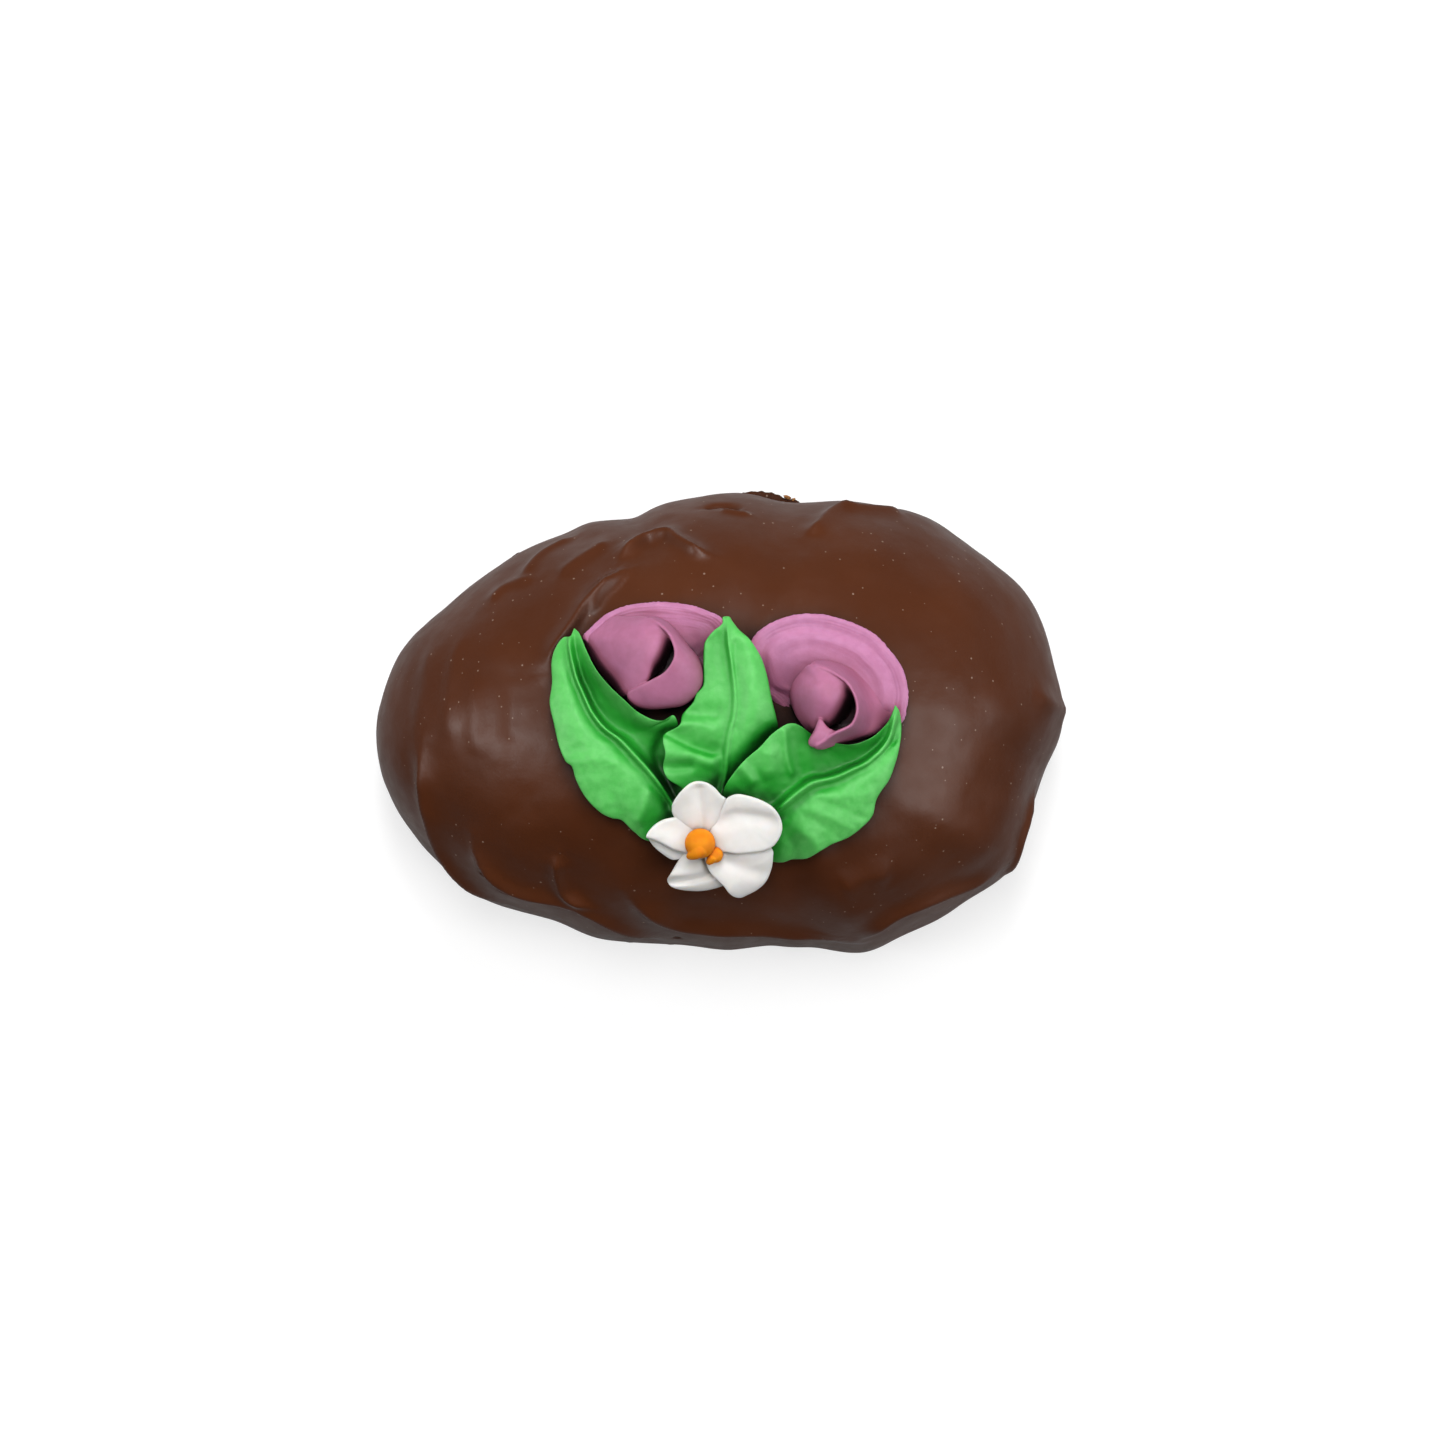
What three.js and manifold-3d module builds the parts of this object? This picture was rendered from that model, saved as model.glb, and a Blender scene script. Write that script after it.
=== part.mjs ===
// A hand-dipped chocolate egg lying on its long side, dressed on its crown with piped icing:
// two tulips, each a spread petal with a rolled bud on it, three leaves, and a five-petalled
// white flower with an orange middle.
//
// Millimetres, +Z up, +X along the egg towards its blunt end. The egg rests on its flat base,
// and the origin lies on that base, under the middle of the egg. The icing is worked out in
// plan, round the centre of the egg's outline, and stood on the smooth dome of the egg.

import * as THREE from "three";
import { mergeVertices } from "three/addons/utils/BufferGeometryUtils.js";
import Module from "manifold-3d";

const wasm = await Module();
wasm.setup();

// ------------------------------------------------------------------ driving dimensions

const GAP = 0.3; // air kept between neighbouring pieces
const MERGE = 1e-4; // vertices closer than this are one vertex

const EGG = {
  halfLength: 50,
  halfWidth: 33.4,
  bluntness: 0.09, // how much the +X end is wider than the -X end
  turn: 3.5, // degrees that the long axis is turned from +X
  crownHeight: 42,
  bulgeHeight: 9, // height of the widest line
  planPower: 2.35, // powers of the dome's rounded shoulder
  risePower: 2.2,
  domeRings: 14,
  segments: 64,
};

// Lumps of the dipped outline: where they are in degrees, how wide they are, how far out.
const LUMPS = [
  { at: 24, spread: 8, out: 0.85 },
  { at: 44, spread: 7, out: 0.8 },
  { at: 71, spread: 10, out: -1.8 },
  { at: 113, spread: 5, out: -0.8 },
  { at: 124, spread: 4, out: 0.5 },
  { at: 139, spread: 11, out: 0.7 },
  { at: 166, spread: 6, out: 0.7 },
  { at: 214, spread: 11, out: 1.3 },
  { at: 240, spread: 8, out: 0.4 },
  { at: 261, spread: 11, out: -0.9 },
  { at: 283, spread: 12, out: -1.4 },
  { at: 303, spread: 7, out: 1.7 },
  { at: 319, spread: 11, out: 1.4 },
  { at: 333, spread: 6, out: 1.7 },
  { at: 351, spread: 6, out: -1.5 },
];

// Below the widest line: [share of the outline's radius, height], down to the flat base.
const SKIRT = [
  [0.992, 6.3],
  [0.974, 3.9],
  [0.962, 2.5],
  [0.97, 1.7],
  [0.974, 0.9],
  [0.962, 0],
  [0.6, 0],
  [0, 0],
];
const FOOT_HEIGHT = 2.2; // the thin set edge of chocolate round the base
const FOOT_LIPS = [
  { at: 83, spread: 9, out: 1 },
  { at: 255, spread: 20, out: 0.5 },
];

// Rough ledges that look out from under the egg: the outer edge as [degrees round, distance from
// the middle of the outline], and the height of the ledge, evenly spaced along it.
const LEDGE_ROOT = 0.9; // share of the outline's radius where a ledge starts
const LEDGES = [
  {
    rim: [[114, 33.6], [108, 34.7], [102, 34.6], [97, 33.9], [92, 35], [87, 35.5], [82, 36.4], [77, 36.7], [72, 36.6], [68, 35]],
    heights: [1, 1.7, 1.4, 2.2, 2.2, 1.4],
  },
  {
    rim: [[143, 39.6], [141, 40.5], [137, 39.7], [134, 38.9], [131, 38.1], [129, 36.8]],
    heights: [1, 1.6, 1.3, 1.5, 1],
  },
];

// Folds of the set chocolate. A line runs through [degrees round, degrees down from the crown].
const FOLDS = [
  { line: [[170, 26], [151, 30], [131, 36], [124, 39]], width: 2.2, rise: 1.2 },
  { line: [[125, 41], [113, 50], [107, 48], [99, 38]], width: 2, rise: 1.3 },
  { line: [[64, 46], [61, 58], [54, 66], [48, 70]], width: 2.2, rise: 1.2 },
  { line: [[186, 54], [199, 65], [206, 74], [222, 80]], width: 2.6, rise: 1.3 },
  { line: [[207, 57], [220, 66], [238, 66], [256, 80]], width: 2.6, rise: 1.4 },
  { line: [[243, 52], [260, 66], [285, 69], [302, 75]], width: 2.8, rise: 1.4 },
  { line: [[302, 72], [309, 67], [318, 67], [333, 77]], width: 2.4, rise: 1.1 },
  { line: [[4, 60], [2, 70], [2, 84]], width: 2.4, rise: 0.9 },
];

// Leaves. Three lines run from the tip to the base: the vein, and the edge of the half to its left
// and to its right. Every point is [x, y, height above the dome]. A half with a power above 1 stays
// low and rises at its edge, and its swell is how far it bulges up between vein and edge.
const LEAF_THICKNESS = 1.6;
const LEAVES = {
  leaf_left: {
    vein: [[-20, 10.2, 3.4], [-19.7, 3.9, 2.4], [-17.3, -1.7, 2.1], [-13.6, -5.4, 2.2], [-9.7, -9.5, 2.3], [-6.5, -13.8, 2], [-4.1, -19.1, 2]],
    left: [[-20, 10.2, 3.4], [-18.4, 7.3, 4.2], [-16.3, 3.3, 5], [-13.1, -0.1, 5.2], [-10, -2.5, 4.6], [-6.4, -2.6, 4.5], [-5.1, -6.9, 3], [-4.3, -14.2, 2.2], [-4.1, -19.1, 2]],
    right: [[-20, 10.2, 3.4], [-22.5, 7.7, 2.8], [-23, 2.6, 2.7], [-22.7, -3.1, 2.7], [-21.1, -8.2, 2.9], [-18.3, -13.2, 2.9], [-14.8, -15.9, 2.9], [-9.6, -19, 2.6], [-4.1, -19.1, 2]],
    leftForm: { power: 1.35, swell: -0.9 },
    rightForm: { power: 1, swell: 0.45 },
  },
  leaf_middle: {
    vein: [[0.8, 11.2, 5.8], [1.2, 7, 5], [2.1, 0.9, 4.6], [1.4, -4.6, 3.8], [0.9, -9.7, 2.9], [-0.8, -15.6, 2.8]],
    left: [[0.8, 11.2, 5.8], [2.6, 9.4, 5.6], [4.8, 7, 5.2], [6.5, 2.9, 4.8], [7.9, -3.6, 3.4], [7.4, -7, 2.4], [4.2, -11.8, 2.1], [-0.8, -15.6, 2.8]],
    right: [[0.8, 11.2, 5.8], [-1, 9, 5.5], [-2.2, 5.8, 4.9], [-2.3, 1.7, 4.5], [-5, -2.1, 4.3], [-7.4, -5, 4.4], [-7.7, -9.3, 4], [-5.1, -12.1, 3.6], [-0.8, -15.6, 2.8]],
    leftForm: { power: 1, swell: 0.45 },
    rightForm: { power: 1.3, swell: -0.6 },
  },
  leaf_right: {
    vein: [[24, -0.6, 4.4], [22.8, -5.6, 3.9], [17.8, -9.4, 3], [12.8, -11.3, 3.2], [8.7, -14.3, 3.6], [4.2, -17.1, 3.4], [2.1, -18.1, 3.2]],
    left: [[24, -0.6, 4.4], [24.9, -4.5, 3.9], [24.2, -8.1, 3.8], [22, -12.5, 3.5], [21, -15.5, 3.5], [17.7, -18.5, 3.4], [13.8, -20.4, 3.1], [8.6, -21.8, 2.6], [2.1, -18.1, 3.2]],
    right: [[24, -0.6, 4.4], [22.8, -3.2, 4.4], [19.6, -5.7, 4.8], [16, -6.1, 5], [12.3, -4.8, 5.2], [10, -3.5, 5.5], [7, -5.1, 5.5], [3.5, -8.4, 5], [0.7, -12, 4.3], [1, -16, 3.5], [2.1, -18.1, 3.2]],
    leftForm: { power: 1, swell: 0.4 },
    rightForm: { power: 1.35, swell: -0.9 },
  },
};

// Tulips. The spread petal is a shallow dish. The bud on it is a domed sheet and a wall wrapped
// round that from its rim down to its foot. Points are [x, y, height above the dome]. An edge goes
// round its piece. A sheet with a high fullness stays flat and falls steeply at its edge there. A
// wall whose belly is above 1 spreads like a skirt, and one below 1 bulges out.
const DISH_THICKNESS = 1.2;
const WRAP_THICKNESS = 1.2;
const TULIPS = {
  left: {
    dish: {
      middle: [-8, 6.5, 1.8],
      edge: [[1.4, 9.4, 2.6], [-1.6, 12.3, 3.4], [-7.5, 13.7, 3.4], [-13, 13.2, 3.4], [-17.8, 10.1, 3.4], [-18.6, 8.3, 3], [-14.6, 4.6, 1.8], [-7.5, 2, 1], [-1.6, 4.5, 1.2], [0.3, 6.7, 1.6]],
      power: 1.1,
    },
    sheets: [
      {
        crown: [-9.8, 7.8, 8.4],
        edge: [[-18.8, 9, 3.2], [-16.4, 4, 2.4], [-13.3, 0.4, 3.9], [-10.4, 1.3, 6.3], [-8.5, 3.5, 4], [-6.9, 5.8, 2.6], [-6.7, 8.6, 8.4], [-9, 10.6, 8.1], [-12.5, 11.5, 5.2], [-16.8, 10.8, 3.3]],
        fullness: [1.5, 1.5, 1.5, 2.2, 2.8, 3.1, 2.7, 2.1, 1.7, 1.5, 1.5],
        thickness: 1.2,
        depth: 5,
      },
      {
        crown: [-7, 3.5, 3.6],
        edge: [[-3, 3, 2.6], [-6.2, 8.4, 2.6], [-11.4, 4, 2.6], [-7.5, -1.1, 2.4]],
        fullness: [2, 2],
        thickness: 1.4,
        depth: 1.2,
      },
    ],
    wrap: {
      rim: [[-10, 10.9, 7], [-7.9, 9.5, 8.6], [-6.2, 6.8, 9.4], [-6.6, 4.2, 8.7], [-9, 2.4, 7.2], [-11.8, 1.2, 5.4], [-13, 0.6, 4.4]],
      foot: [[-9.5, 11.2, 2.7], [-6.9, 10.2, 2], [-4.4, 7, 2], [-2.4, 2.9, 2.6], [-5, -0.5, 2.6], [-9.8, -1, 2.6], [-12.2, -0.6, 2.4]],
      belly: [1, 1, 1, 0.8, 0.7, 0.65, 0.6, 0.6, 0.65],
    },
  },
  right: {
    dish: {
      middle: [15, 2.5, 1.2],
      edge: [[25.9, 1.6, 3.2], [23.4, 7.1, 3.2], [18.6, 10.7, 3.2], [13.1, 12, 3.2], [7.6, 10.9, 3.2], [4.4, 8.2, 3.2], [4.2, 4.5, 2], [7, 0.4, 1], [10.6, -4.4, 1], [17.9, -6.6, 1.2], [25.1, -2.7, 2.6]],
      power: 1.6,
    },
    sheets: [
      {
        crown: [14.3, 1, 8.5],
        edge: [[12.2, 4.5, 6.7], [10.1, 2.5, 3.6], [9.7, -0.3, 2.6], [11.5, -3.7, 3.4], [13.9, -4.5, 5.2], [16.2, -3, 3.2], [18, -1.2, 2.4], [18.2, 0.6, 6.4], [16.6, 2.6, 8.6], [13.9, 4.1, 7.6]],
        fullness: [2, 1.8, 1.8, 1.9, 2.2, 2.7, 3, 3, 2.7, 2.2, 2],
        thickness: 1.2,
        depth: 5,
      },
      {
        crown: [13.6, -5, 7.2],
        edge: [[13.6, -2.9, 7], [15.9, -4.9, 7.3], [14.2, -6.3, 6.7], [12.4, -6.7, 6.3], [12.2, -5.6, 6.2]],
        fullness: [2, 2],
        thickness: 1,
        depth: 0.5,
      },
      {
        crown: [17, -1, 3.6],
        edge: [[22.2, -0.8, 2.4], [17, 3.6, 2.6], [11.6, 0, 2.6], [17, -5.2, 2.8]],
        fullness: [2, 2],
        thickness: 1.4,
        depth: 1.2,
      },
    ],
    wrap: {
      rim: [[12.3, 4.3, 6.8], [15.6, 3, 8.4], [18.1, 0.5, 9.2], [18.5, -2.6, 9], [16.2, -4.7, 7.9], [13.9, -6, 7], [12.5, -6.7, 6.7]],
      foot: [[12.3, 4.6, 3.6], [17.3, 4.8, 2], [22.2, 2.5, 1.6], [24, -1.9, 2.2], [19.3, -5.3, 2.9], [14.6, -6.5, 4.4], [13.2, -6.9, 5]],
      belly: [1, 1.2, 1.7, 2.2, 2.2, 1.9, 1.5, 1.2],
    },
  },
};

// The white flower lies on the front of the dome, tilted forward. Its points are in its own plane:
// [to the right, to the back, out of the plane]. The heart of a petal is a point inside its edge.
const FLOWER = { centre: [-2.4, -19.7], height: 5.2, tilt: 26 };
const PETAL_THICKNESS = 1.5;
const PETALS = {
  petal_1: {
    heart: [-0.3, 6.2, 0.5],
    edge: [[3.4, 6.9, 0.9], [1.8, 8.8, 1.3], [-0.4, 9.7, 1], [-2.8, 8.5, 1.6], [-4.1, 6, 1.2], [-2, 2.2, 0.2], [-0.3, 0.4, 0], [1.6, 2.4, 0.2]],
  },
  petal_2: {
    heart: [6.4, 3.2, 1.3],
    edge: [[10.9, 3.9, 2.2], [9.4, 6.6, 2.2], [6.4, 7.9, 1.9], [4, 7.8, 1.5], [2.2, 4.4, 0.8], [0.8, 1.6, 0.6], [3.3, -0.4, 1.5], [6.6, -0.3, 1.9], [9.4, 0.4, 1.9]],
  },
  petal_3: {
    heart: [5.6, -3.2, 0.5],
    edge: [[9.6, -0.4, 0.6], [8.2, 1, 0.5], [5, 1.6, 0.3], [2.2, 0.9, 0.3], [0.7, -2.7, 0.9], [2.1, -4.7, 1.1], [3.6, -6.6, 0.9], [5.3, -7.8, -0.1], [7.6, -6.6, -0.1], [9.5, -3.4, 0.3]],
  },
  petal_4: {
    heart: [-0.6, -4.2, -0.3],
    edge: [[4.5, -5, -0.3], [1.8, -6.7, -0.8], [-1.7, -7.1, -0.9], [-4.5, -6.2, -0.6], [-4.4, -4.4, 0], [-2.4, -1.2, -0.2], [0, 0.2, -0.2], [2.4, -0.8, -0.2]],
  },
  petal_5: {
    heart: [-4.3, 2, 0.3],
    edge: [[0.2, 0.6, 0.2], [-2.8, 4.4, 0.6], [-5.4, 4.1, 1.1], [-7.4, 2.5, 1], [-7.3, 0.9, 0.4], [-5.4, -1.3, 0], [-2.4, -1.9, -0.2]],
  },
};

// Beads of the flower's middle: a squashed ball, and the tip pulled over it by the nozzle, whose
// points are [to the right, to the back, out of the plane] with its radius there.
const BEAD_SQUASH = 0.9;
const BEADS = {
  middle_large: {
    at: [-0.25, 1, 1.9],
    radius: 2.1,
    tip: [[0.2, 0.9, 3], [-0.5, 0.3, 3.2], [-1.3, -0.3, 2.9], [-1.95, -0.85, 2.3]],
    tipRadius: [1, 0.95, 0.7, 0.35],
  },
  middle_small: {
    at: [1.75, -0.75, 1.7],
    radius: 1.15,
    tip: [[1.6, -0.6, 2.4], [1.2, -1.3, 2.3], [0.8, -1.8, 1.9]],
    tipRadius: [0.7, 0.6, 0.4],
  },
};

const COLOURS = {
  chocolate: new THREE.Color(0.23, 0.12, 0.08),
  purple: new THREE.Color(0.62, 0.33, 0.5),
  green: new THREE.Color(0.22, 0.62, 0.24),
  white: new THREE.Color(0.86, 0.84, 0.8),
  orange: new THREE.Color(0.9, 0.47, 0.08),
};

// ------------------------------------------------------------------ plain arithmetic

const radians = (degrees) => (degrees * Math.PI) / 180;

/** A round hump: `out` high at `at` degrees, fading over `spread` degrees. */
function hump({ at, spread, out }, degrees) {
  const away = ((((degrees - at + 180) % 360) + 360) % 360) - 180;
  return out * Math.exp(-((away / spread) ** 2));
}

/** A smooth curve through evenly spaced values, read at share t of its length. */
function along(values, t) {
  const last = values.length - 1;
  const place = Math.min(Math.max(t, 0), 1) * last;
  const i = Math.min(Math.floor(place), last - 1);
  const before = values[Math.max(i - 1, 0)];
  const after = values[Math.min(i + 2, last)];
  const f = place - i;
  const [a, b] = [values[i], values[i + 1]];
  const [slopeA, slopeB] = [(b - before) / 2, (after - a) / 2];
  const swing = f * (1 - f) * ((1 - f) * (slopeA - (b - a)) - f * (slopeB - (b - a)));
  return a + f * (b - a) + swing;
}

/** 0 at both ends of a sweep and 1 in between, so that its section closes round. */
function roundedEnds(t, startShare, endShare) {
  const fromStart = Math.min(t / startShare, 1);
  const fromEnd = Math.min((1 - t) / endShare, 1);
  return Math.sqrt(1 - (1 - fromStart) ** 2) * Math.sqrt(1 - (1 - fromEnd) ** 2);
}

/** A smooth line through points. */
const lineOf = (points) => new THREE.CatmullRomCurve3(points.map(([x, y, z]) => new THREE.Vector3(x, y, z)));

/** A smooth closed line round a piece, read at an angle. */
function edgeOf(points) {
  const line = new THREE.CatmullRomCurve3(points.map(([x, y, z]) => new THREE.Vector3(x, y, z)), true);
  return (angle) => line.getPoint(THREE.MathUtils.euclideanModulo(angle / (2 * Math.PI), 1));
}

// ------------------------------------------------------------------ closed skins

/** A closed skin from pole to pole: place(t, angle) is the point at share t, angle round it. */
function skin(around, rings, place) {
  const geometry = new THREE.SphereGeometry(1, around, rings);
  geometry.deleteAttribute("normal");
  geometry.deleteAttribute("uv");
  const position = geometry.attributes.position;
  const onBall = new THREE.Vector3();
  for (let i = 0; i < position.count; i += 1) {
    onBall.fromBufferAttribute(position, i);
    const t = Math.acos(THREE.MathUtils.clamp(onBall.y, -1, 1)) / Math.PI;
    const point = place(t, Math.atan2(onBall.z, onBall.x));
    position.setXYZ(i, point.x, point.y, point.z);
  }
  return outward(mergeVertices(geometry, MERGE));
}

/** The same skin with its faces turned outward. */
function outward(geometry) {
  const [a, b, c] = [new THREE.Vector3(), new THREE.Vector3(), new THREE.Vector3()];
  const { position } = geometry.attributes;
  const corners = geometry.index.array;
  let volume = 0;
  for (let i = 0; i < corners.length; i += 3) {
    a.fromBufferAttribute(position, corners[i]);
    b.fromBufferAttribute(position, corners[i + 1]);
    c.fromBufferAttribute(position, corners[i + 2]);
    volume += a.dot(b.cross(c)) / 6;
  }
  if (volume < 0) {
    for (let i = 0; i < corners.length; i += 3) {
      [corners[i + 1], corners[i + 2]] = [corners[i + 2], corners[i + 1]];
    }
  }
  return geometry;
}

/** The skin moved out along its normals, to cut a neighbour with air between them. */
function grown(geometry, by = GAP) {
  const copy = geometry.clone();
  copy.computeVertexNormals();
  const { position, normal } = copy.attributes;
  for (let i = 0; i < position.count; i += 1) {
    position.setXYZ(
      i,
      position.getX(i) + by * normal.getX(i),
      position.getY(i) + by * normal.getY(i),
      position.getZ(i) + by * normal.getZ(i),
    );
  }
  copy.deleteAttribute("normal");
  return copy;
}

function toSolid(geometry) {
  return new wasm.Manifold(new wasm.Mesh({
    numProp: 3,
    vertProperties: new Float32Array(geometry.attributes.position.array),
    triVerts: new Uint32Array(geometry.index.array),
  }));
}

function toGeometry(solid) {
  const { vertProperties, triVerts } = solid.getMesh();
  const geometry = new THREE.BufferGeometry();
  geometry.setAttribute("position", new THREE.BufferAttribute(vertProperties, 3));
  geometry.setIndex(new THREE.BufferAttribute(triVerts, 1));
  return geometry;
}

/** The pieces joined into one skin. */
const joined = (...pieces) => toGeometry(pieces.map(toSolid).reduce((a, b) => a.add(b)));

/** The largest part of a piece that stays clear of all its neighbours. */
function cutBack(piece, neighbours) {
  const rest = neighbours.reduce((left, other) => left.subtract(toSolid(grown(other))), toSolid(piece));
  const parts = rest.decompose().sort((a, b) => b.volume() - a.volume());
  return toGeometry(parts[0]);
}

// ------------------------------------------------------------------ the egg's form

/** Radius of the outline in a direction, in plan. */
function reach(angle) {
  const { halfLength, halfWidth, bluntness, turn } = EGG;
  const forward = Math.cos(angle - radians(turn));
  const sideways = Math.sin(angle - radians(turn));
  const width = halfWidth * (1 + bluntness * forward);
  const smooth = 1 / Math.hypot(forward / halfLength, sideways / width);
  return LUMPS.reduce((sum, lump) => sum + hump(lump, THREE.MathUtils.radToDeg(angle)), smooth);
}

/** [share of the outline's radius, height] at an angle down from the crown to the widest line. */
function domeRing(down) {
  const { crownHeight, bulgeHeight, planPower, risePower } = EGG;
  const share = Math.sin(down) ** (2 / planPower);
  const rise = Math.max(Math.cos(down), 0) ** (2 / risePower);
  return [share, bulgeHeight + (crownHeight - bulgeHeight) * rise];
}

/** Height of the smooth dome over a point in plan. */
function domeHeight(x, y) {
  const { crownHeight, bulgeHeight, planPower, risePower } = EGG;
  const share = Math.min(Math.hypot(x, y) / reach(Math.atan2(y, x)), 1);
  return bulgeHeight + (crownHeight - bulgeHeight) * (1 - share ** planPower) ** (1 / risePower);
}

/** A point at a height above the smooth dome. */
const onDome = (x, y, height) => new THREE.Vector3(x, y, domeHeight(x, y) + height);

/** The direction out of the dome at a point of it. */
function outOfDome(point) {
  const { halfLength, halfWidth, crownHeight, bulgeHeight } = EGG;
  return new THREE.Vector3(
    point.x / halfLength ** 2,
    point.y / halfWidth ** 2,
    Math.max(point.z - bulgeHeight, 0) / (crownHeight - bulgeHeight) ** 2,
  ).normalize();
}

function ringPoint(angle, [share, height]) {
  const radius = share * reach(angle);
  return new THREE.Vector3(radius * Math.cos(angle), radius * Math.sin(angle), height);
}

/** How far the folds push the dome out at a point of it. */
function foldRise(point, folds) {
  let rise = 0;
  for (const { curve, width, height } of folds) {
    const nearest = Math.min(...curve.map((mark) => mark.distanceTo(point)));
    rise = Math.max(rise, height * Math.exp(-((nearest / width) ** 2)));
  }
  return rise;
}

/** Each fold's line as close marks on the smooth dome. */
function foldCurves() {
  const marks = 40;
  return FOLDS.map(({ line, width, rise }) => {
    const corners = line.map(([round, down]) => ringPoint(radians(round), domeRing(radians(down))));
    return { curve: new THREE.CatmullRomCurve3(corners).getPoints(marks), width, height: rise };
  });
}

function makeDome() {
  const folds = foldCurves();
  const dome = Array.from({ length: EGG.domeRings + 1 }, (_, i) => domeRing((i / EGG.domeRings) * (Math.PI / 2)));
  const profile = [...dome, ...SKIRT];
  return skin(EGG.segments, profile.length - 1, (t, angle) => {
    const [share, height] = profile[Math.round(t * (profile.length - 1))];
    const point = ringPoint(angle, [share, height]);
    if (height >= EGG.bulgeHeight) {
      return point.addScaledVector(outOfDome(point), foldRise(point, folds));
    }
    if (height < FOOT_HEIGHT && share > SKIRT[SKIRT.length - 2][0]) {
      const degrees = THREE.MathUtils.radToDeg(angle);
      const lip = FOOT_LIPS.reduce((sum, edge) => sum + hump(edge, degrees), 0);
      return point.add(new THREE.Vector3(lip * Math.cos(angle), lip * Math.sin(angle), 0));
    }
    return point;
  });
}

/** A ledge of set chocolate, flat below and standing on the level of the egg's base. */
function makeLedge({ rim, heights }) {
  const line = lineOf(rim.map(([degrees, radius]) => [degrees, radius, 0]));
  return skin(8, 14, (t, angle) => {
    const { x: degrees, y: radius } = line.getPointAt(t);
    const turn = radians(degrees);
    const size = roundedEnds(t, 0.1, 0.1);
    const root = reach(turn) * LEDGE_ROOT;
    const out = root + (radius - root) * (0.5 + 0.5 * Math.cos(angle) * size);
    const up = along(heights, t) * (0.5 + 0.5 * Math.sin(angle) * size);
    return new THREE.Vector3(out * Math.cos(turn), out * Math.sin(turn), up);
  });
}

// ------------------------------------------------------------------ piped leaves

function makeLeaf({ vein, left, right, leftForm, rightForm }) {
  const [veinLine, leftLine, rightLine] = [vein, left, right].map(lineOf);
  return skin(14, 14, (t, angle) => {
    const across = Math.cos(angle); // +1 at the left edge, -1 at the right edge
    const out = Math.abs(across);
    const { power, swell } = across > 0 ? leftForm : rightForm;
    const middle = veinLine.getPointAt(t);
    const edge = (across > 0 ? leftLine : rightLine).getPointAt(t);
    const wide = THREE.MathUtils.smoothstep(Math.hypot(edge.x - middle.x, edge.y - middle.y), 0, 4);
    const bulge = swell * wide * Math.sin(Math.PI * out ** 0.8);
    const height = middle.z + (edge.z - middle.z) * out ** power + bulge;
    const half = (LEAF_THICKNESS / 2) * roundedEnds(t, 0.1, 0.1) * Math.sin(angle);
    return onDome(
      THREE.MathUtils.lerp(middle.x, edge.x, out),
      THREE.MathUtils.lerp(middle.y, edge.y, out),
      Math.max(height + half, GAP * 1.3 + (half + LEAF_THICKNESS / 2) * 0.4),
    );
  });
}

// ------------------------------------------------------------------ tulips

/** The spread petal: a shallow dish that rises to its rim. */
function makeDish({ middle: [x, y, low], edge, power }) {
  const edgeAt = edgeOf(edge);
  return skin(24, 6, (t, angle) => {
    const rim = edgeAt(angle);
    const share = Math.sin(t * Math.PI);
    const half = (DISH_THICKNESS / 2) * Math.cos(t * Math.PI) * (1 - 0.25 * share);
    const height = low + (rim.z - low) * share ** power + half;
    return onDome(
      THREE.MathUtils.lerp(x, rim.x, share),
      THREE.MathUtils.lerp(y, rim.y, share),
      Math.max(height, GAP * 1.3 + (half + DISH_THICKNESS / 2) * 0.4),
    );
  });
}

/** A soft sheet of the bud, highest over its crown and deep below it. */
function makeSheet({ crown: [x, y, top], edge, fullness, thickness, depth }) {
  const edgeAt = edgeOf(edge);
  return skin(16, 6, (t, angle) => {
    const rim = edgeAt(angle);
    const share = Math.sin(t * Math.PI);
    const side = Math.cos(t * Math.PI);
    const full = along(fullness, THREE.MathUtils.euclideanModulo(angle / (2 * Math.PI), 1));
    const under = side < 0 ? depth * (1 - share ** 2) : 0;
    const height = rim.z + (top - rim.z) * (1 - share ** full) - (thickness / 2) * (1 - side) - under;
    return onDome(THREE.MathUtils.lerp(x, rim.x, share), THREE.MathUtils.lerp(y, rim.y, share), height);
  });
}

/** The wall wrapped round the bud, falling from its rim to its foot. */
function makeWrap({ rim, foot, belly }) {
  const [rimLine, footLine] = [rim, foot].map(lineOf);
  const onWall = (t, share) => {
    const [high, low] = [rimLine.getPointAt(t), footLine.getPointAt(t)];
    const bulge = along(belly, t);
    return onDome(
      THREE.MathUtils.lerp(low.x, high.x, share ** (1 / bulge)),
      THREE.MathUtils.lerp(low.y, high.y, share ** (1 / bulge)),
      THREE.MathUtils.lerp(low.z, high.z, share ** bulge),
    );
  };
  return skin(12, 14, (t, angle) => {
    const size = roundedEnds(t, 0.1, 0.1);
    const share = 0.5 + 0.5 * Math.cos(angle) * size;
    const forward = rimLine.getTangentAt(t);
    const rise = onWall(t, Math.min(share + 0.1, 1)).sub(onWall(t, Math.max(share - 0.1, 0)));
    const half = (WRAP_THICKNESS / 2) * Math.sin(angle) * size;
    return onWall(t, share).addScaledVector(rise.cross(forward).normalize(), half);
  });
}

// ------------------------------------------------------------------ the white flower

/** A point given in the flower's own plane: u to the right, v to the back, w out of it. */
function inFlower(u, v, w) {
  const [x, y] = FLOWER.centre;
  const point = new THREE.Vector3(u, v, w).applyAxisAngle(new THREE.Vector3(1, 0, 0), radians(FLOWER.tilt));
  return point.add(onDome(x, y, FLOWER.height));
}

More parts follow.
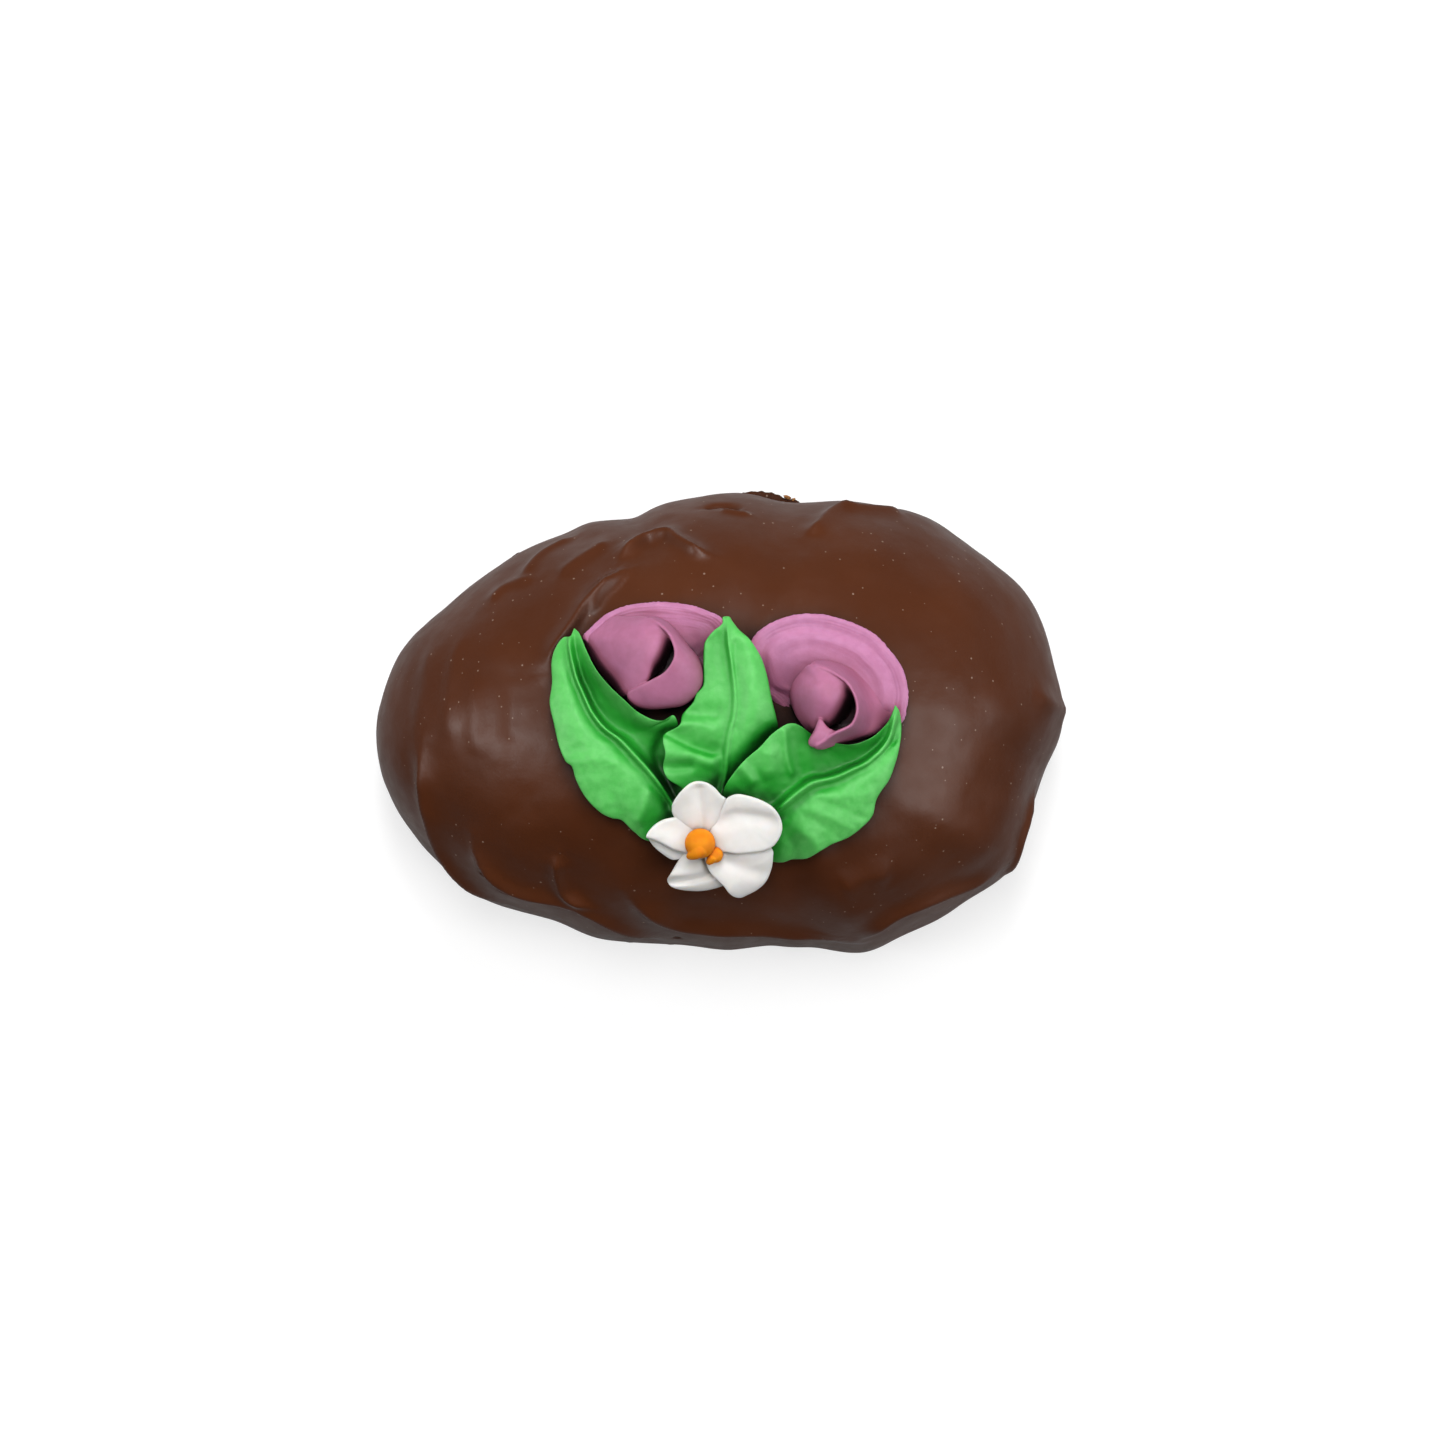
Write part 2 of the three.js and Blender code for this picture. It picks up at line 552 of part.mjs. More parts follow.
function makePetal({ heart: [u, v, w], edge }) {
  const edgeAt = edgeOf(edge);
  return skin(14, 6, (t, angle) => {
    const rim = edgeAt(angle);
    const share = Math.sin(t * Math.PI);
    return inFlower(
      THREE.MathUtils.lerp(u, rim.x, share),
      THREE.MathUtils.lerp(v, rim.y, share),
      w + (rim.z - w) * share ** 2 + (PETAL_THICKNESS / 2) * Math.cos(t * Math.PI),
    );
  });
}

/** A bead of icing and its tip, pulled over as the nozzle left it. */
function makeBead({ at: [u, v, w], radius, tip, tipRadius }) {
  const ball = skin(10, 6, (t, angle) => {
    const share = radius * Math.sin(t * Math.PI);
    const up = BEAD_SQUASH * radius * Math.cos(t * Math.PI);
    return inFlower(u + share * Math.cos(angle), v + share * Math.sin(angle), w + up);
  });
  const line = lineOf(tip);
  const up = new THREE.Vector3(0, 0, 1);
  const pulled = skin(8, 6, (t, angle) => {
    const across = line.getTangentAt(t).cross(up).normalize();
    const over = across.clone().cross(line.getTangentAt(t));
    const size = along(tipRadius, t) * roundedEnds(t, 0.2, 0.2);
    const point = line.getPointAt(t)
      .addScaledVector(across, size * Math.cos(angle))
      .addScaledVector(over, size * Math.sin(angle));
    return inFlower(point.x, point.y, point.z);
  });
  return joined(ball, pulled);
}

// ------------------------------------------------------------------ cutting and placing

const beads = {};
for (const [name, bead] of Object.entries(BEADS)) {
  beads[name] = cutBack(makeBead(bead), Object.values(beads));
}

const petals = {};
const PETAL_ORDER = ["petal_2", "petal_3", "petal_1", "petal_5", "petal_4"]; // the uppermost first
for (const name of PETAL_ORDER) {
  petals[name] = cutBack(makePetal(PETALS[name]), [...Object.values(beads), ...Object.values(petals)]);
}

const buds = {};
for (const [side, { sheets, wrap }] of Object.entries(TULIPS)) {
  buds[`tulip_${side}_bud`] = joined(...sheets.map(makeSheet), makeWrap(wrap));
}

const leaves = {};
for (const name of ["leaf_right", "leaf_middle", "leaf_left"]) {
  leaves[name] = cutBack(makeLeaf(LEAVES[name]), [
    ...Object.values(petals),
    ...Object.values(beads),
    ...Object.values(buds),
    ...Object.values(leaves),
  ]);
}

const dishes = {};
for (const [side, { dish }] of Object.entries(TULIPS)) {
  dishes[`tulip_${side}_petal`] = cutBack(makeDish(dish), [
    ...Object.values(buds),
    ...Object.values(leaves),
    ...Object.values(dishes),
  ]);
}

const egg = new THREE.Group();

function addPieces(pieces, color, roughness) {
  for (const [name, geometry] of Object.entries(pieces)) {
    const mesh = new THREE.Mesh(geometry, new THREE.MeshStandardMaterial({ color, roughness, metalness: 0 }));
    mesh.name = name;
    egg.add(mesh);
  }
}

addPieces({ egg: joined(makeDome(), ...LEDGES.map(makeLedge)) }, COLOURS.chocolate, 0.42);
addPieces({ ...dishes, ...buds }, COLOURS.purple, 0.7);
addPieces(leaves, COLOURS.green, 0.6);
addPieces(petals, COLOURS.white, 0.5);
addPieces(beads, COLOURS.orange, 0.5);

const middle = new THREE.Box3().setFromObject(egg).getCenter(new THREE.Vector3());
egg.position.set(-middle.x, -middle.y, 0);

export default egg;
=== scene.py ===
"""A hand-dipped chocolate egg dressed with piped icing tulips, leaves and a small white flower.

Shapes are worked out in millimetres, in plan, round the centre of the egg's outline, and stood on
the smooth dome of the egg. Each finished mesh is then moved into the row frame, in metres.
"""

import logging
import math
from dataclasses import dataclass
from enum import Enum
from typing import Sequence

import bmesh
import bpy
import numpy as np
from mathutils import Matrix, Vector, noise


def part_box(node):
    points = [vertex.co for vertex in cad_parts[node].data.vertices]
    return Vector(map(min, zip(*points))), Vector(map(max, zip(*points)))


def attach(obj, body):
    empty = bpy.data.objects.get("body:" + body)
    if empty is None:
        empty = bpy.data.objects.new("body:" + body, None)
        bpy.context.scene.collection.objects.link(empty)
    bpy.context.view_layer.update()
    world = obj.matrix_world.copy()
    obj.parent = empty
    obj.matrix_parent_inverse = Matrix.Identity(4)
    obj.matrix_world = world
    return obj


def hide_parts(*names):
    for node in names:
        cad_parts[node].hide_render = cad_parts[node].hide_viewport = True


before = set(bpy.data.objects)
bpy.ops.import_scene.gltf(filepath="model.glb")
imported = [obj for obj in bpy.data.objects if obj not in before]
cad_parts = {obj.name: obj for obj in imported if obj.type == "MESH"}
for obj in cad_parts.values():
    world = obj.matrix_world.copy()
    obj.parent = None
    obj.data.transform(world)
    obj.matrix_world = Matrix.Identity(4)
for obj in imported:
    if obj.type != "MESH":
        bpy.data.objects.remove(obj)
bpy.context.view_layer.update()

LOG = logging.getLogger("chocolate_egg")
MM = 0.001
TINY = 1e-9

Array = np.ndarray
Mesh = bmesh.types.BMesh
Material = bpy.types.Material
Node = bpy.types.Node
Socket = bpy.types.NodeSocket
Tree = bpy.types.NodeTree
Pair = tuple[float, float]
Point = tuple[float, float, float]
Colour = tuple[float, float, float]
Inputs = dict[str | int, object]
# How many faces a ball has round it and from pole to pole.
Faces = tuple[int, int]


# ------------------------------------------------------------------ plain arithmetic


def smooth(x: Array) -> Array:
    """A soft step from 0 to 1 as x goes from 0 to 1."""
    x = np.clip(x, 0.0, 1.0)
    return x * x * (3.0 - 2.0 * x)


def bell(x: Array, width: Array | float) -> Array:
    """A round bump, 1 at x = 0."""
    return np.exp(-((x / width) ** 2))


def blunt(x: Array, power: float) -> Array:
    """The value x with its sign kept and its size raised to a power."""
    return np.sign(x) * np.abs(x) ** power


def lengths(rows: Array) -> Array:
    """The length of each row."""
    return np.linalg.norm(rows, axis=1)


def unit(rows: Array) -> Array:
    """The rows scaled to length 1."""
    return rows / np.maximum(lengths(rows), TINY)[:, None]


def spun(radius: Array, angle: Array, height: Array) -> Array:
    """Rows of [x, y, z] at a radius and an angle round the upright axis."""
    return np.column_stack([radius * np.cos(angle), radius * np.sin(angle), height])


def along(values: Sequence[float], t: Array) -> Array:
    """A smooth curve through evenly spaced values, read at share t of its length.

    Args:
        values: the values, the first at t = 0 and the last at t = 1.
        t: shares from 0 to 1.

    Returns:
        The curve's value at each share.
    """
    v = np.asarray(values, float)
    last = len(v) - 1
    place = np.clip(t, 0.0, 1.0) * last
    i = np.minimum(place.astype(int), last - 1)
    f = place - i
    a, b = v[i], v[i + 1]
    before, after = v[np.maximum(i - 1, 0)], v[np.minimum(i + 2, last)]
    slope_a, slope_b = (b - before) / 2.0, (after - a) / 2.0
    swing = f * (1 - f) * ((1 - f) * (slope_a - (b - a)) - f * (slope_b - (b - a)))
    return a + f * (b - a) + swing


def round_about(values: Sequence[float], turn: Array) -> Array:
    """A smooth closed curve through evenly spaced values, read at shares of a full turn."""
    v = list(values)
    wide = [*v[-2:], *v, *v[:3]]
    return along(wide, (np.mod(turn, 1.0) * len(v) + 2) / (len(wide) - 1))


def outline_at(rows: Sequence[Point], turn: Array) -> Array:
    """A smooth closed outline through rows of [x, y, height], read at shares of a full turn."""
    return np.stack([round_about(column, turn) for column in np.asarray(rows, float).T], axis=1)


def evened_outline(rows: Sequence[Point], turn: Array, share: Array) -> Array:
    """A closed outline read as above, evened out towards the middle of what it surrounds.

    Args:
        rows: [x, y, height] evenly spaced round the outline.
        turn: where to read them, in turns.
        share: 0 in the middle, where only their slow swing is left, to 1 on the outline.

    Returns:
        A row for each place.
    """
    points = np.asarray(rows, float)
    steps = 2 * math.pi * np.arange(len(points)) / len(points)
    swing = np.outer(np.cos(2 * math.pi * turn), np.cos(steps) @ points)
    swing += np.outer(np.sin(2 * math.pi * turn), np.sin(steps) @ points)
    even = points.mean(axis=0) + 2 * swing / len(points)
    return even + (outline_at(rows, turn) - even) * share[:, None]


def line_through(points: Sequence[tuple[float, ...]], t: Array) -> Array:
    """Points on a smooth line, at shares t of its length.

    Args:
        points: the line's corners.
        t: shares of the line's length, from 0 to 1.

    Returns:
        A row for each share.
    """
    steps = np.linspace(0.0, 1.0, 400)
    fine = np.stack([along(column, steps) for column in np.asarray(points, float).T], axis=1)
    run = np.concatenate([[0.0], np.cumsum(lengths(np.diff(fine, axis=0)))])
    place = np.clip(t, 0.0, 1.0) * run[-1]
    return np.stack([np.interp(place, run, column) for column in fine.T], axis=1)


def rounded_ends(t: Array, start: float, end: float) -> Array:
    """0 at both ends of a sweep and 1 in between, so that its section closes round."""
    from_start = np.minimum(t / start, 1.0)
    from_end = np.minimum((1.0 - t) / end, 1.0)
    return np.sqrt(1.0 - (1.0 - from_start) ** 2) * np.sqrt(1.0 - (1.0 - from_end) ** 2)


def grain(points: Array, scale: float, seed: float = 0.0) -> Array:
    """Smooth noise from about -1 to 1 at each point.

    Args:
        points: rows of coordinates in millimetres.
        scale: the size of the noise's lumps in millimetres.
        seed: moves the pattern.

    Returns:
        One value for each point.
    """
    shift = Vector((seed, seed * 0.7, -seed))
    return np.array([noise.noise(Vector(p) / scale + shift) for p in points])


def near_line(marks: Array, points: Array, reach: float) -> tuple[Array, Array, Array, Array, Array]:
    """Finds the points that lie close to a line.

    Args:
        marks: evenly spaced points of the line.
        points: the points to look at.
        reach: how far from the line's box they may lie.

    Returns:
        The numbers of the points that are close, then for each of them the number of the nearest
        mark, the way from that mark, the line's direction there, and how far it is past the line's end.
    """
    ahead = np.gradient(marks, axis=0)
    spacing = lengths(ahead).mean()
    low, high = marks.min(axis=0) - reach, marks.max(axis=0) + reach
    near = np.where(np.all((points > low) & (points < high), axis=1))[0]
    gaps = points[near, None, :] - marks[None, :, :]
    nearest = np.linalg.norm(gaps, axis=2).argmin(axis=1)
    gap, way = gaps[np.arange(len(near)), nearest], unit(ahead)[nearest]
    return near, nearest, gap, way, np.maximum(np.abs(np.sum(way * gap, axis=1)) - spacing, 0.0)


# ------------------------------------------------------------------ the egg's form


@dataclass(frozen=True)
class Lump:
    """A hump of a round outline: its place and spread in degrees, and how far out in mm."""

    at: float
    spread: float
    out: float

    def read(self, degrees: Array) -> Array:
        """How far out the lump is at each direction."""
        return self.out * bell((degrees - self.at + 180.0) % 360.0 - 180.0, self.spread)


@dataclass(frozen=True)
class EggForm:
    """The smooth form that the chocolate and the icing share, in mm round the outline's centre."""

    half_length: float = 49.85
    half_width: float = 33.3
    bluntness: float = 0.09
    turn: float = 3.5
    crown_height: float = 42.0
    bulge_height: float = 9.0
    plan_power: float = 2.35
    rise_power: float = 2.2
    lumps: tuple[Lump, ...] = (
        Lump(9, 6, -0.2), Lump(24, 8, 0.85), Lump(44, 7, 0.8), Lump(64, 4, -0.2), Lump(71, 10, -1.8),
        Lump(113, 5, -0.8), Lump(124, 4, 0.5), Lump(139, 11, 0.7), Lump(166, 6, 0.7), Lump(206, 4, -0.3),
        Lump(214, 11, 1.3), Lump(231, 5, -0.3), Lump(240, 8, 0.4), Lump(261, 11, -0.9), Lump(283, 12, -1.4),
        Lump(288, 4, 0.3), Lump(303, 7, 1.7), Lump(319, 11, 1.4), Lump(333, 6, 1.7), Lump(345, 3, -0.4),
        Lump(351, 6, -1.5),
    )

    @property
    def rise(self) -> float:
        """Height of the crown above the widest line."""
        return self.crown_height - self.bulge_height

    def reach(self, angle: Array) -> Array:
        """Radius of the outline in each direction, in plan."""
        forward, sideways = np.cos(angle - np.radians(self.turn)), np.sin(angle - np.radians(self.turn))
        width = self.half_width * (1 + self.bluntness * forward)
        even = 1.0 / np.hypot(forward / self.half_length, sideways / width)
        return even + sum(lump.read(np.degrees(angle)) for lump in self.lumps)

    def ring(self, down: Array) -> tuple[Array, Array]:
        """Share of the outline's radius, and height, at angles down from the crown."""
        level = np.maximum(np.cos(down), 0.0) ** (2 / self.rise_power)
        return np.sin(down) ** (2 / self.plan_power), self.bulge_height + self.rise * level

    def height(self, x: Array, y: Array) -> Array:
        """Height of the smooth dome over points in plan."""
        share = np.minimum(np.hypot(x, y) / self.reach(np.arctan2(y, x)), 1.0)
        return self.bulge_height + self.rise * (1 - share**self.plan_power) ** (1 / self.rise_power)

    def place(self, plan: Array, lift: Array | float) -> Array:
        """Rows of [x, y, z] over rows of [x, y], lifted above the smooth dome."""
        return np.column_stack([plan, self.height(plan[:, 0], plan[:, 1]) + lift])

    def polar(self, angle: Array, down: Array) -> Array:
        """Points of the dome at directions round it and angles down from its crown."""
        share, height = self.ring(down)
        return spun(share * self.reach(angle), angle, height)

    def outward(self, points: Array) -> Array:
        """Unit directions out of the dome at points of it."""
        above = np.maximum(points[:, 2] - self.bulge_height, 0.0)
        halves = np.array([self.half_length, self.half_width, self.rise])
        return unit(np.column_stack([points[:, :2], above]) / halves**2)


FORM = EggForm()


# ------------------------------------------------------------------ making meshes


class Slot(Enum):
    """The record's material slots."""

    CHOCOLATE = "chocolate"
    PURPLE = "purple_icing"
    GREEN = "green_icing"
    WHITE = "white_icing"
    ORANGE = "orange_icing"


def vertex_array(bm: Mesh) -> Array:
    """The vertices of a bmesh as rows of coordinates."""
    return np.array([v.co for v in bm.verts], float).reshape(-1, 3)


def move_vertices(bm: Mesh, points: Array) -> None:
    """Puts each vertex at its row of points."""
    for vertex, point in zip(bm.verts, points):
        vertex.co = point


def ball(faces: Faces) -> tuple[Mesh, Array, Array]:
    """A closed ball to be shaped into a piece: a grid rolled up, its seam and poles closed.

    Args:
        faces: of the ball.

    Returns:
        The bmesh, and for each vertex its share of the way from pole to pole and its angle.
    """
    bm = bmesh.new()
    bmesh.ops.create_grid(bm, x_segments=faces[0], y_segments=faces[1], size=1.0)
    co = vertex_array(bm)
    down = (1.0 - co[:, 1]) / 2.0 * math.pi
    move_vertices(bm, spun(np.sin(down), co[:, 0] * math.pi, np.cos(down)))
    bmesh.ops.remove_doubles(bm, verts=bm.verts, dist=1e-5)
    co = vertex_array(bm)
    share = np.arctan2(np.hypot(co[:, 0], co[:, 1]), co[:, 2]) / math.pi
    return bm, share, np.arctan2(co[:, 1], co[:, 0])


def into_scene(bm: Mesh, name: str) -> bpy.types.Object:
    """Makes a bmesh an object of the scene, and frees the bmesh."""
    mesh = bpy.data.meshes.new(name)
    bm.to_mesh(mesh)
    bm.free()
    made = bpy.data.objects.new(name, mesh)
    bpy.context.scene.collection.objects.link(made)
    return made


def fused(parts: Sequence[Mesh], voxel: float, softening: int) -> Mesh:
    """Closed parts that run into each other, made one closed skin.

    Args:
        parts: closed meshes in mm; they are freed.
        voxel: the grid that the skin is rebuilt on, in mm.
        softening: how many times the skin is smoothed.

    Returns:
        The new bmesh.
    """
    together = bmesh.new()
    for part in parts:
        mesh = bpy.data.meshes.new("part")
        part.to_mesh(mesh)
        part.free()
        together.from_mesh(mesh)
        bpy.data.meshes.remove(mesh)
    holder = into_scene(together, "together")
    remesh = holder.modifiers.new("fuse", "REMESH")
    remesh.mode, remesh.voxel_size = "VOXEL", voxel
    whole = bmesh.new()
    whole.from_object(holder, bpy.context.evaluated_depsgraph_get())
    bpy.data.meshes.remove(holder.data)
    for _ in range(softening):
        bmesh.ops.smooth_vert(
            whole, verts=whole.verts, factor=0.5, use_axis_x=True, use_axis_y=True, use_axis_z=True
        )
    return whole


@dataclass(frozen=True)
class Piece:
    """A piece of the finished model, and the CAD node that it stands for."""

    name: str
    node: str

    def build_mesh(self) -> Mesh:
        """The piece as a closed bmesh in mm."""
        raise NotImplementedError


@dataclass(frozen=True)
class Studio:
    """Puts finished pieces into the row frame.

    Attributes:
        centre: the plan point, in the pieces' own mm, that lies over the row frame's origin.
    """

    centre: Array

    def keep(self, piece: Piece, bm: Mesh, material: Material) -> None:
        """Turns a bmesh in mm into a finished piece.

        Args:
            piece: what is made.
            bm: its closed mesh; it is freed.
            material: its finish.
        """
        bmesh.ops.recalc_face_normals(bm, faces=bm.faces)
        if bm.calc_volume(signed=True) < 0:
            bmesh.ops.reverse_faces(bm, faces=bm.faces)
        bmesh.ops.translate(bm, verts=bm.verts, vec=Vector((-self.centre[0], -self.centre[1], 0.0)))
        bmesh.ops.scale(bm, verts=bm.verts, vec=Vector((MM, MM, MM)))
        for face in bm.faces:
            face.smooth = True
        made = into_scene(bm, piece.name)
        made.data.materials.append(material)
        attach(made, "root")
        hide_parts(piece.node)
        LOG.info("%s: %d vertices, stands for %s", piece.name, len(made.data.vertices), piece.node)


# ------------------------------------------------------------------ materials


class NodeKit:
    """Short hands for building a node tree."""

    def __init__(self, tree: Tree) -> None:
        """Keeps the tree that nodes are added to."""
        self.tree = tree

    def feed(self, node: Node, inputs: Inputs) -> None:
        """Links each input to an output socket, or sets it to a number or a colour."""
        for key, value in inputs.items():
            if isinstance(value, Socket):
                self.tree.links.new(value, node.inputs[key])
            else:
                node.inputs[key].default_value = value

    def add(self, kind: str, inputs: Inputs | None = None, **settings: object) -> Node:
        """A new node with its own settings and inputs."""
        node = self.tree.nodes.new(kind)
        for key, value in settings.items():
            setattr(node, key, value)
        self.feed(node, inputs or {})
        return node

    def place(self) -> Socket:
        """The piece's own coordinates."""
        return self.add("ShaderNodeTexCoord").outputs["Object"]

    def math(self, operation: str, a: Socket | float, b: Socket | float, clamp: bool = False) -> Socket:
        """The result of a Math node on two sockets or numbers."""
        return self.add("ShaderNodeMath", {0: a, 1: b}, operation=operation, use_clamp=clamp).outputs[0]

    def ramp(self, source: Socket, low: float, high: float) -> Socket:
        """Stretches a value softly so that low is 0 and high is 1."""
        inputs = {"Value": source, "From Min": low, "From Max": high}
        node = self.add("ShaderNodeMapRange", inputs, interpolation_type="SMOOTHSTEP", clamp=True)
        return node.outputs["Result"]

    def mix(self, share: Socket, a: Socket | Colour, b: Socket | Colour) -> Socket:
        """Blends colour a into colour b by a share."""
        first, second = (c if isinstance(c, Socket) else (*c, 1.0) for c in (a, b))
        inputs = {"Factor": share, 6: first, 7: second}
        return self.add("ShaderNodeMix", inputs, data_type="RGBA", clamp_factor=True).outputs[2]

    def openness(self, reach: float) -> Socket:
        """Share of open air over the surface, where walls within reach (in mm) count."""
        return self.add("ShaderNodeAmbientOcclusion", {"Distance": reach * MM}, samples=12).outputs["AO"]

    def noise(self, vector: Socket, scale: Socket | float, detail: float) -> Socket:
        """The value of a Noise Texture with lumps of 1 / scale metres."""
        inputs = {"Vector": vector, "Scale": scale, "Detail": detail}
        return self.add("ShaderNodeTexNoise", inputs).outputs["Fac"]

    def bump(self, height: Socket, strength: float, depth: float) -> Socket:
        """The normal of a relief, depth in mm."""
        inputs = {"Height": height, "Strength": strength, "Distance": depth * MM}
        return self.add("ShaderNodeBump", inputs).outputs["Normal"]


def new_group(
    name: str, inputs: dict[str, float], outputs: Sequence[str]
) -> tuple[Tree, NodeKit, dict[str, Socket], Node]:
    """A shader node group with value inputs and outputs.

    Args:
        name: the group's name.
        inputs: each input's default.
        outputs: each output's name.

    Returns:
        The group, a kit to fill it with, its inputs' sockets by name, and its output node.
    """
    group = bpy.data.node_groups.new(name, "ShaderNodeTree")
    for label, value in inputs.items():
        socket = group.interface.new_socket(label, in_out="INPUT", socket_type="NodeSocketFloat")
        socket.default_value = value
    for label in outputs:
        group.interface.new_socket(label, in_out="OUTPUT", socket_type="NodeSocketFloat")
    kit = NodeKit(group)
    entry = kit.add("NodeGroupInput")
    return group, kit, {label: entry.outputs[label] for label in inputs}, kit.add("NodeGroupOutput")


def make_grain_group() -> Tree:
    """Relief of set icing: a fine tooth over softer lumps, in the piece's own coordinates."""
    defaults = {"Tooth size": 0.15, "Lump size": 1.2, "Tooth share": 0.4}
    group, kit, given, result = new_group("icing_grain", defaults, ("Height", "Mottle"))
    place = kit.place()
    sizes = given["Tooth size"], given["Lump size"]
    tooth, lumps = (kit.noise(place, kit.math("DIVIDE", 1.0 / MM, size), 3.0) for size in sizes)
    fine = kit.math("MULTIPLY", tooth, given["Tooth share"])
    kit.feed(result, {"Height": kit.math("ADD", fine, lumps), "Mottle": lumps})
    return group


def make_speck_group() -> Tree:
    """Sparse round specks: a mask of dots scattered over the surface."""
    defaults = {"Spacing": 2.0, "Size": 0.1, "Share kept": 0.3}
    group, kit, given, result = new_group("specks", defaults, ("Mask",))
    scale = kit.math("DIVIDE", 1.0 / MM, given["Spacing"])
    cells = kit.add("ShaderNodeTexVoronoi", {"Vector": kit.place(), "Scale": scale})
    tell = kit.add("ShaderNodeSeparateColor", {0: cells.outputs["Color"]})
    kept = kit.math("LESS_THAN", tell.outputs[0], given["Share kept"])
    away = kit.math("MULTIPLY", cells.outputs["Distance"], given["Spacing"])
    size = kit.math("MULTIPLY", given["Size"], kit.math("ADD", tell.outputs[1], 0.5))
    near = kit.math("SUBTRACT", 1.0, kit.math("DIVIDE", away, size), clamp=True)
    soft = kit.math("MULTIPLY", near, 3.0, clamp=True)
    kit.feed(result, {"Mask": kit.math("MULTIPLY", soft, kept)})
    return group


@dataclass(frozen=True)
class Groups:
    """The node groups that the finishes share."""

    tooth: Tree
    specks: Tree


def new_material(name: str) -> tuple[Material, NodeKit, Node]:
    """A material with its node kit and its Principled shader."""
    material = bpy.data.materials.new(name)
    material.use_nodes = True
    return material, NodeKit(material.node_tree), material.node_tree.nodes["Principled BSDF"]


@dataclass(frozen=True)
class ChocolateFinish:
    """Set chocolate: dark satin brown, a little paler in patches, with tiny pale specks, and painted shade
    that darkens it towards near black in closed corners.

    Attributes:
        speck_grid: the specks' spacing and size in mm, and the share of places that have one.
        veil: how much of the brown a speck covers.
        reach: how near a wall closes a corner for the painted shade and the dulling, in mm.
        open_range: from what share of open air the painted shade and the dulling of a corner start to clear,
            and where they are gone.
        patch_scale: patches to the metre.
        tooth: size of the fine tooth and of its lumps in mm, and the tooth's share of the relief.
        relief: strength of the tooth.
        dulling: how much rougher the dullest patches and the closed corners are.
    """

    name: str = "set_chocolate"
    dark: Colour = (0.075, 0.0198, 0.0060)
    pale: Colour = (0.088, 0.0238, 0.0074)
    roughness: float = 0.35
    gloss: float = 0.36
    speck: Colour = (0.30, 0.20, 0.15)
    painted_deep_shade: Colour = (0.008, 0.002, 0.001)
    speck_grid: Point = (1.4, 0.12, 0.6)
    veil: float = 0.8
    reach: float = 7.0
    open_range: Pair = (0.42, 0.9)
    patch_scale: float = 55.0
    tooth: Point = (0.35, 3.0, 0.12)
    relief: float = 0.25
    dulling: Pair = (0.08, 0.5)

    def build(self, groups: Groups) -> Material:
        """The material, from the shared groups."""
        material, kit, shader = new_material(self.name)
        patches = kit.ramp(kit.noise(kit.place(), self.patch_scale, 4.0), 0.35, 0.7)
        body = kit.mix(patches, self.dark, self.pale)
        grid = dict(zip(("Spacing", "Size", "Share kept"), self.speck_grid))
        dots = kit.add("ShaderNodeGroup", grid, node_tree=groups.specks).outputs["Mask"]
        speckled = kit.mix(kit.math("MULTIPLY", dots, self.veil), body, self.speck)
        # Painted shade: the closer the walls round a place, the more its base colour is darkened towards a
        # near black.
        open_air = kit.ramp(kit.openness(self.reach), *self.open_range)
        sizes = dict(zip(("Tooth size", "Lump size", "Tooth share"), self.tooth))
        relief = kit.add("ShaderNodeGroup", sizes, node_tree=groups.tooth)
        haze = kit.math("MULTIPLY", kit.ramp(relief.outputs["Mottle"], 0.3, 0.75), self.dulling[0])
        closed = kit.math("MULTIPLY", kit.math("SUBTRACT", 1.0, open_air), self.dulling[1])
        kit.feed(
            shader,
            {
                "Base Color": kit.mix(open_air, self.painted_deep_shade, speckled),
                "Roughness": kit.math("ADD", kit.math("ADD", haze, closed), self.roughness),
                "Specular IOR Level": self.gloss,
                "Normal": kit.bump(relief.outputs["Height"], self.relief, 0.25),
            },
        )
        return material


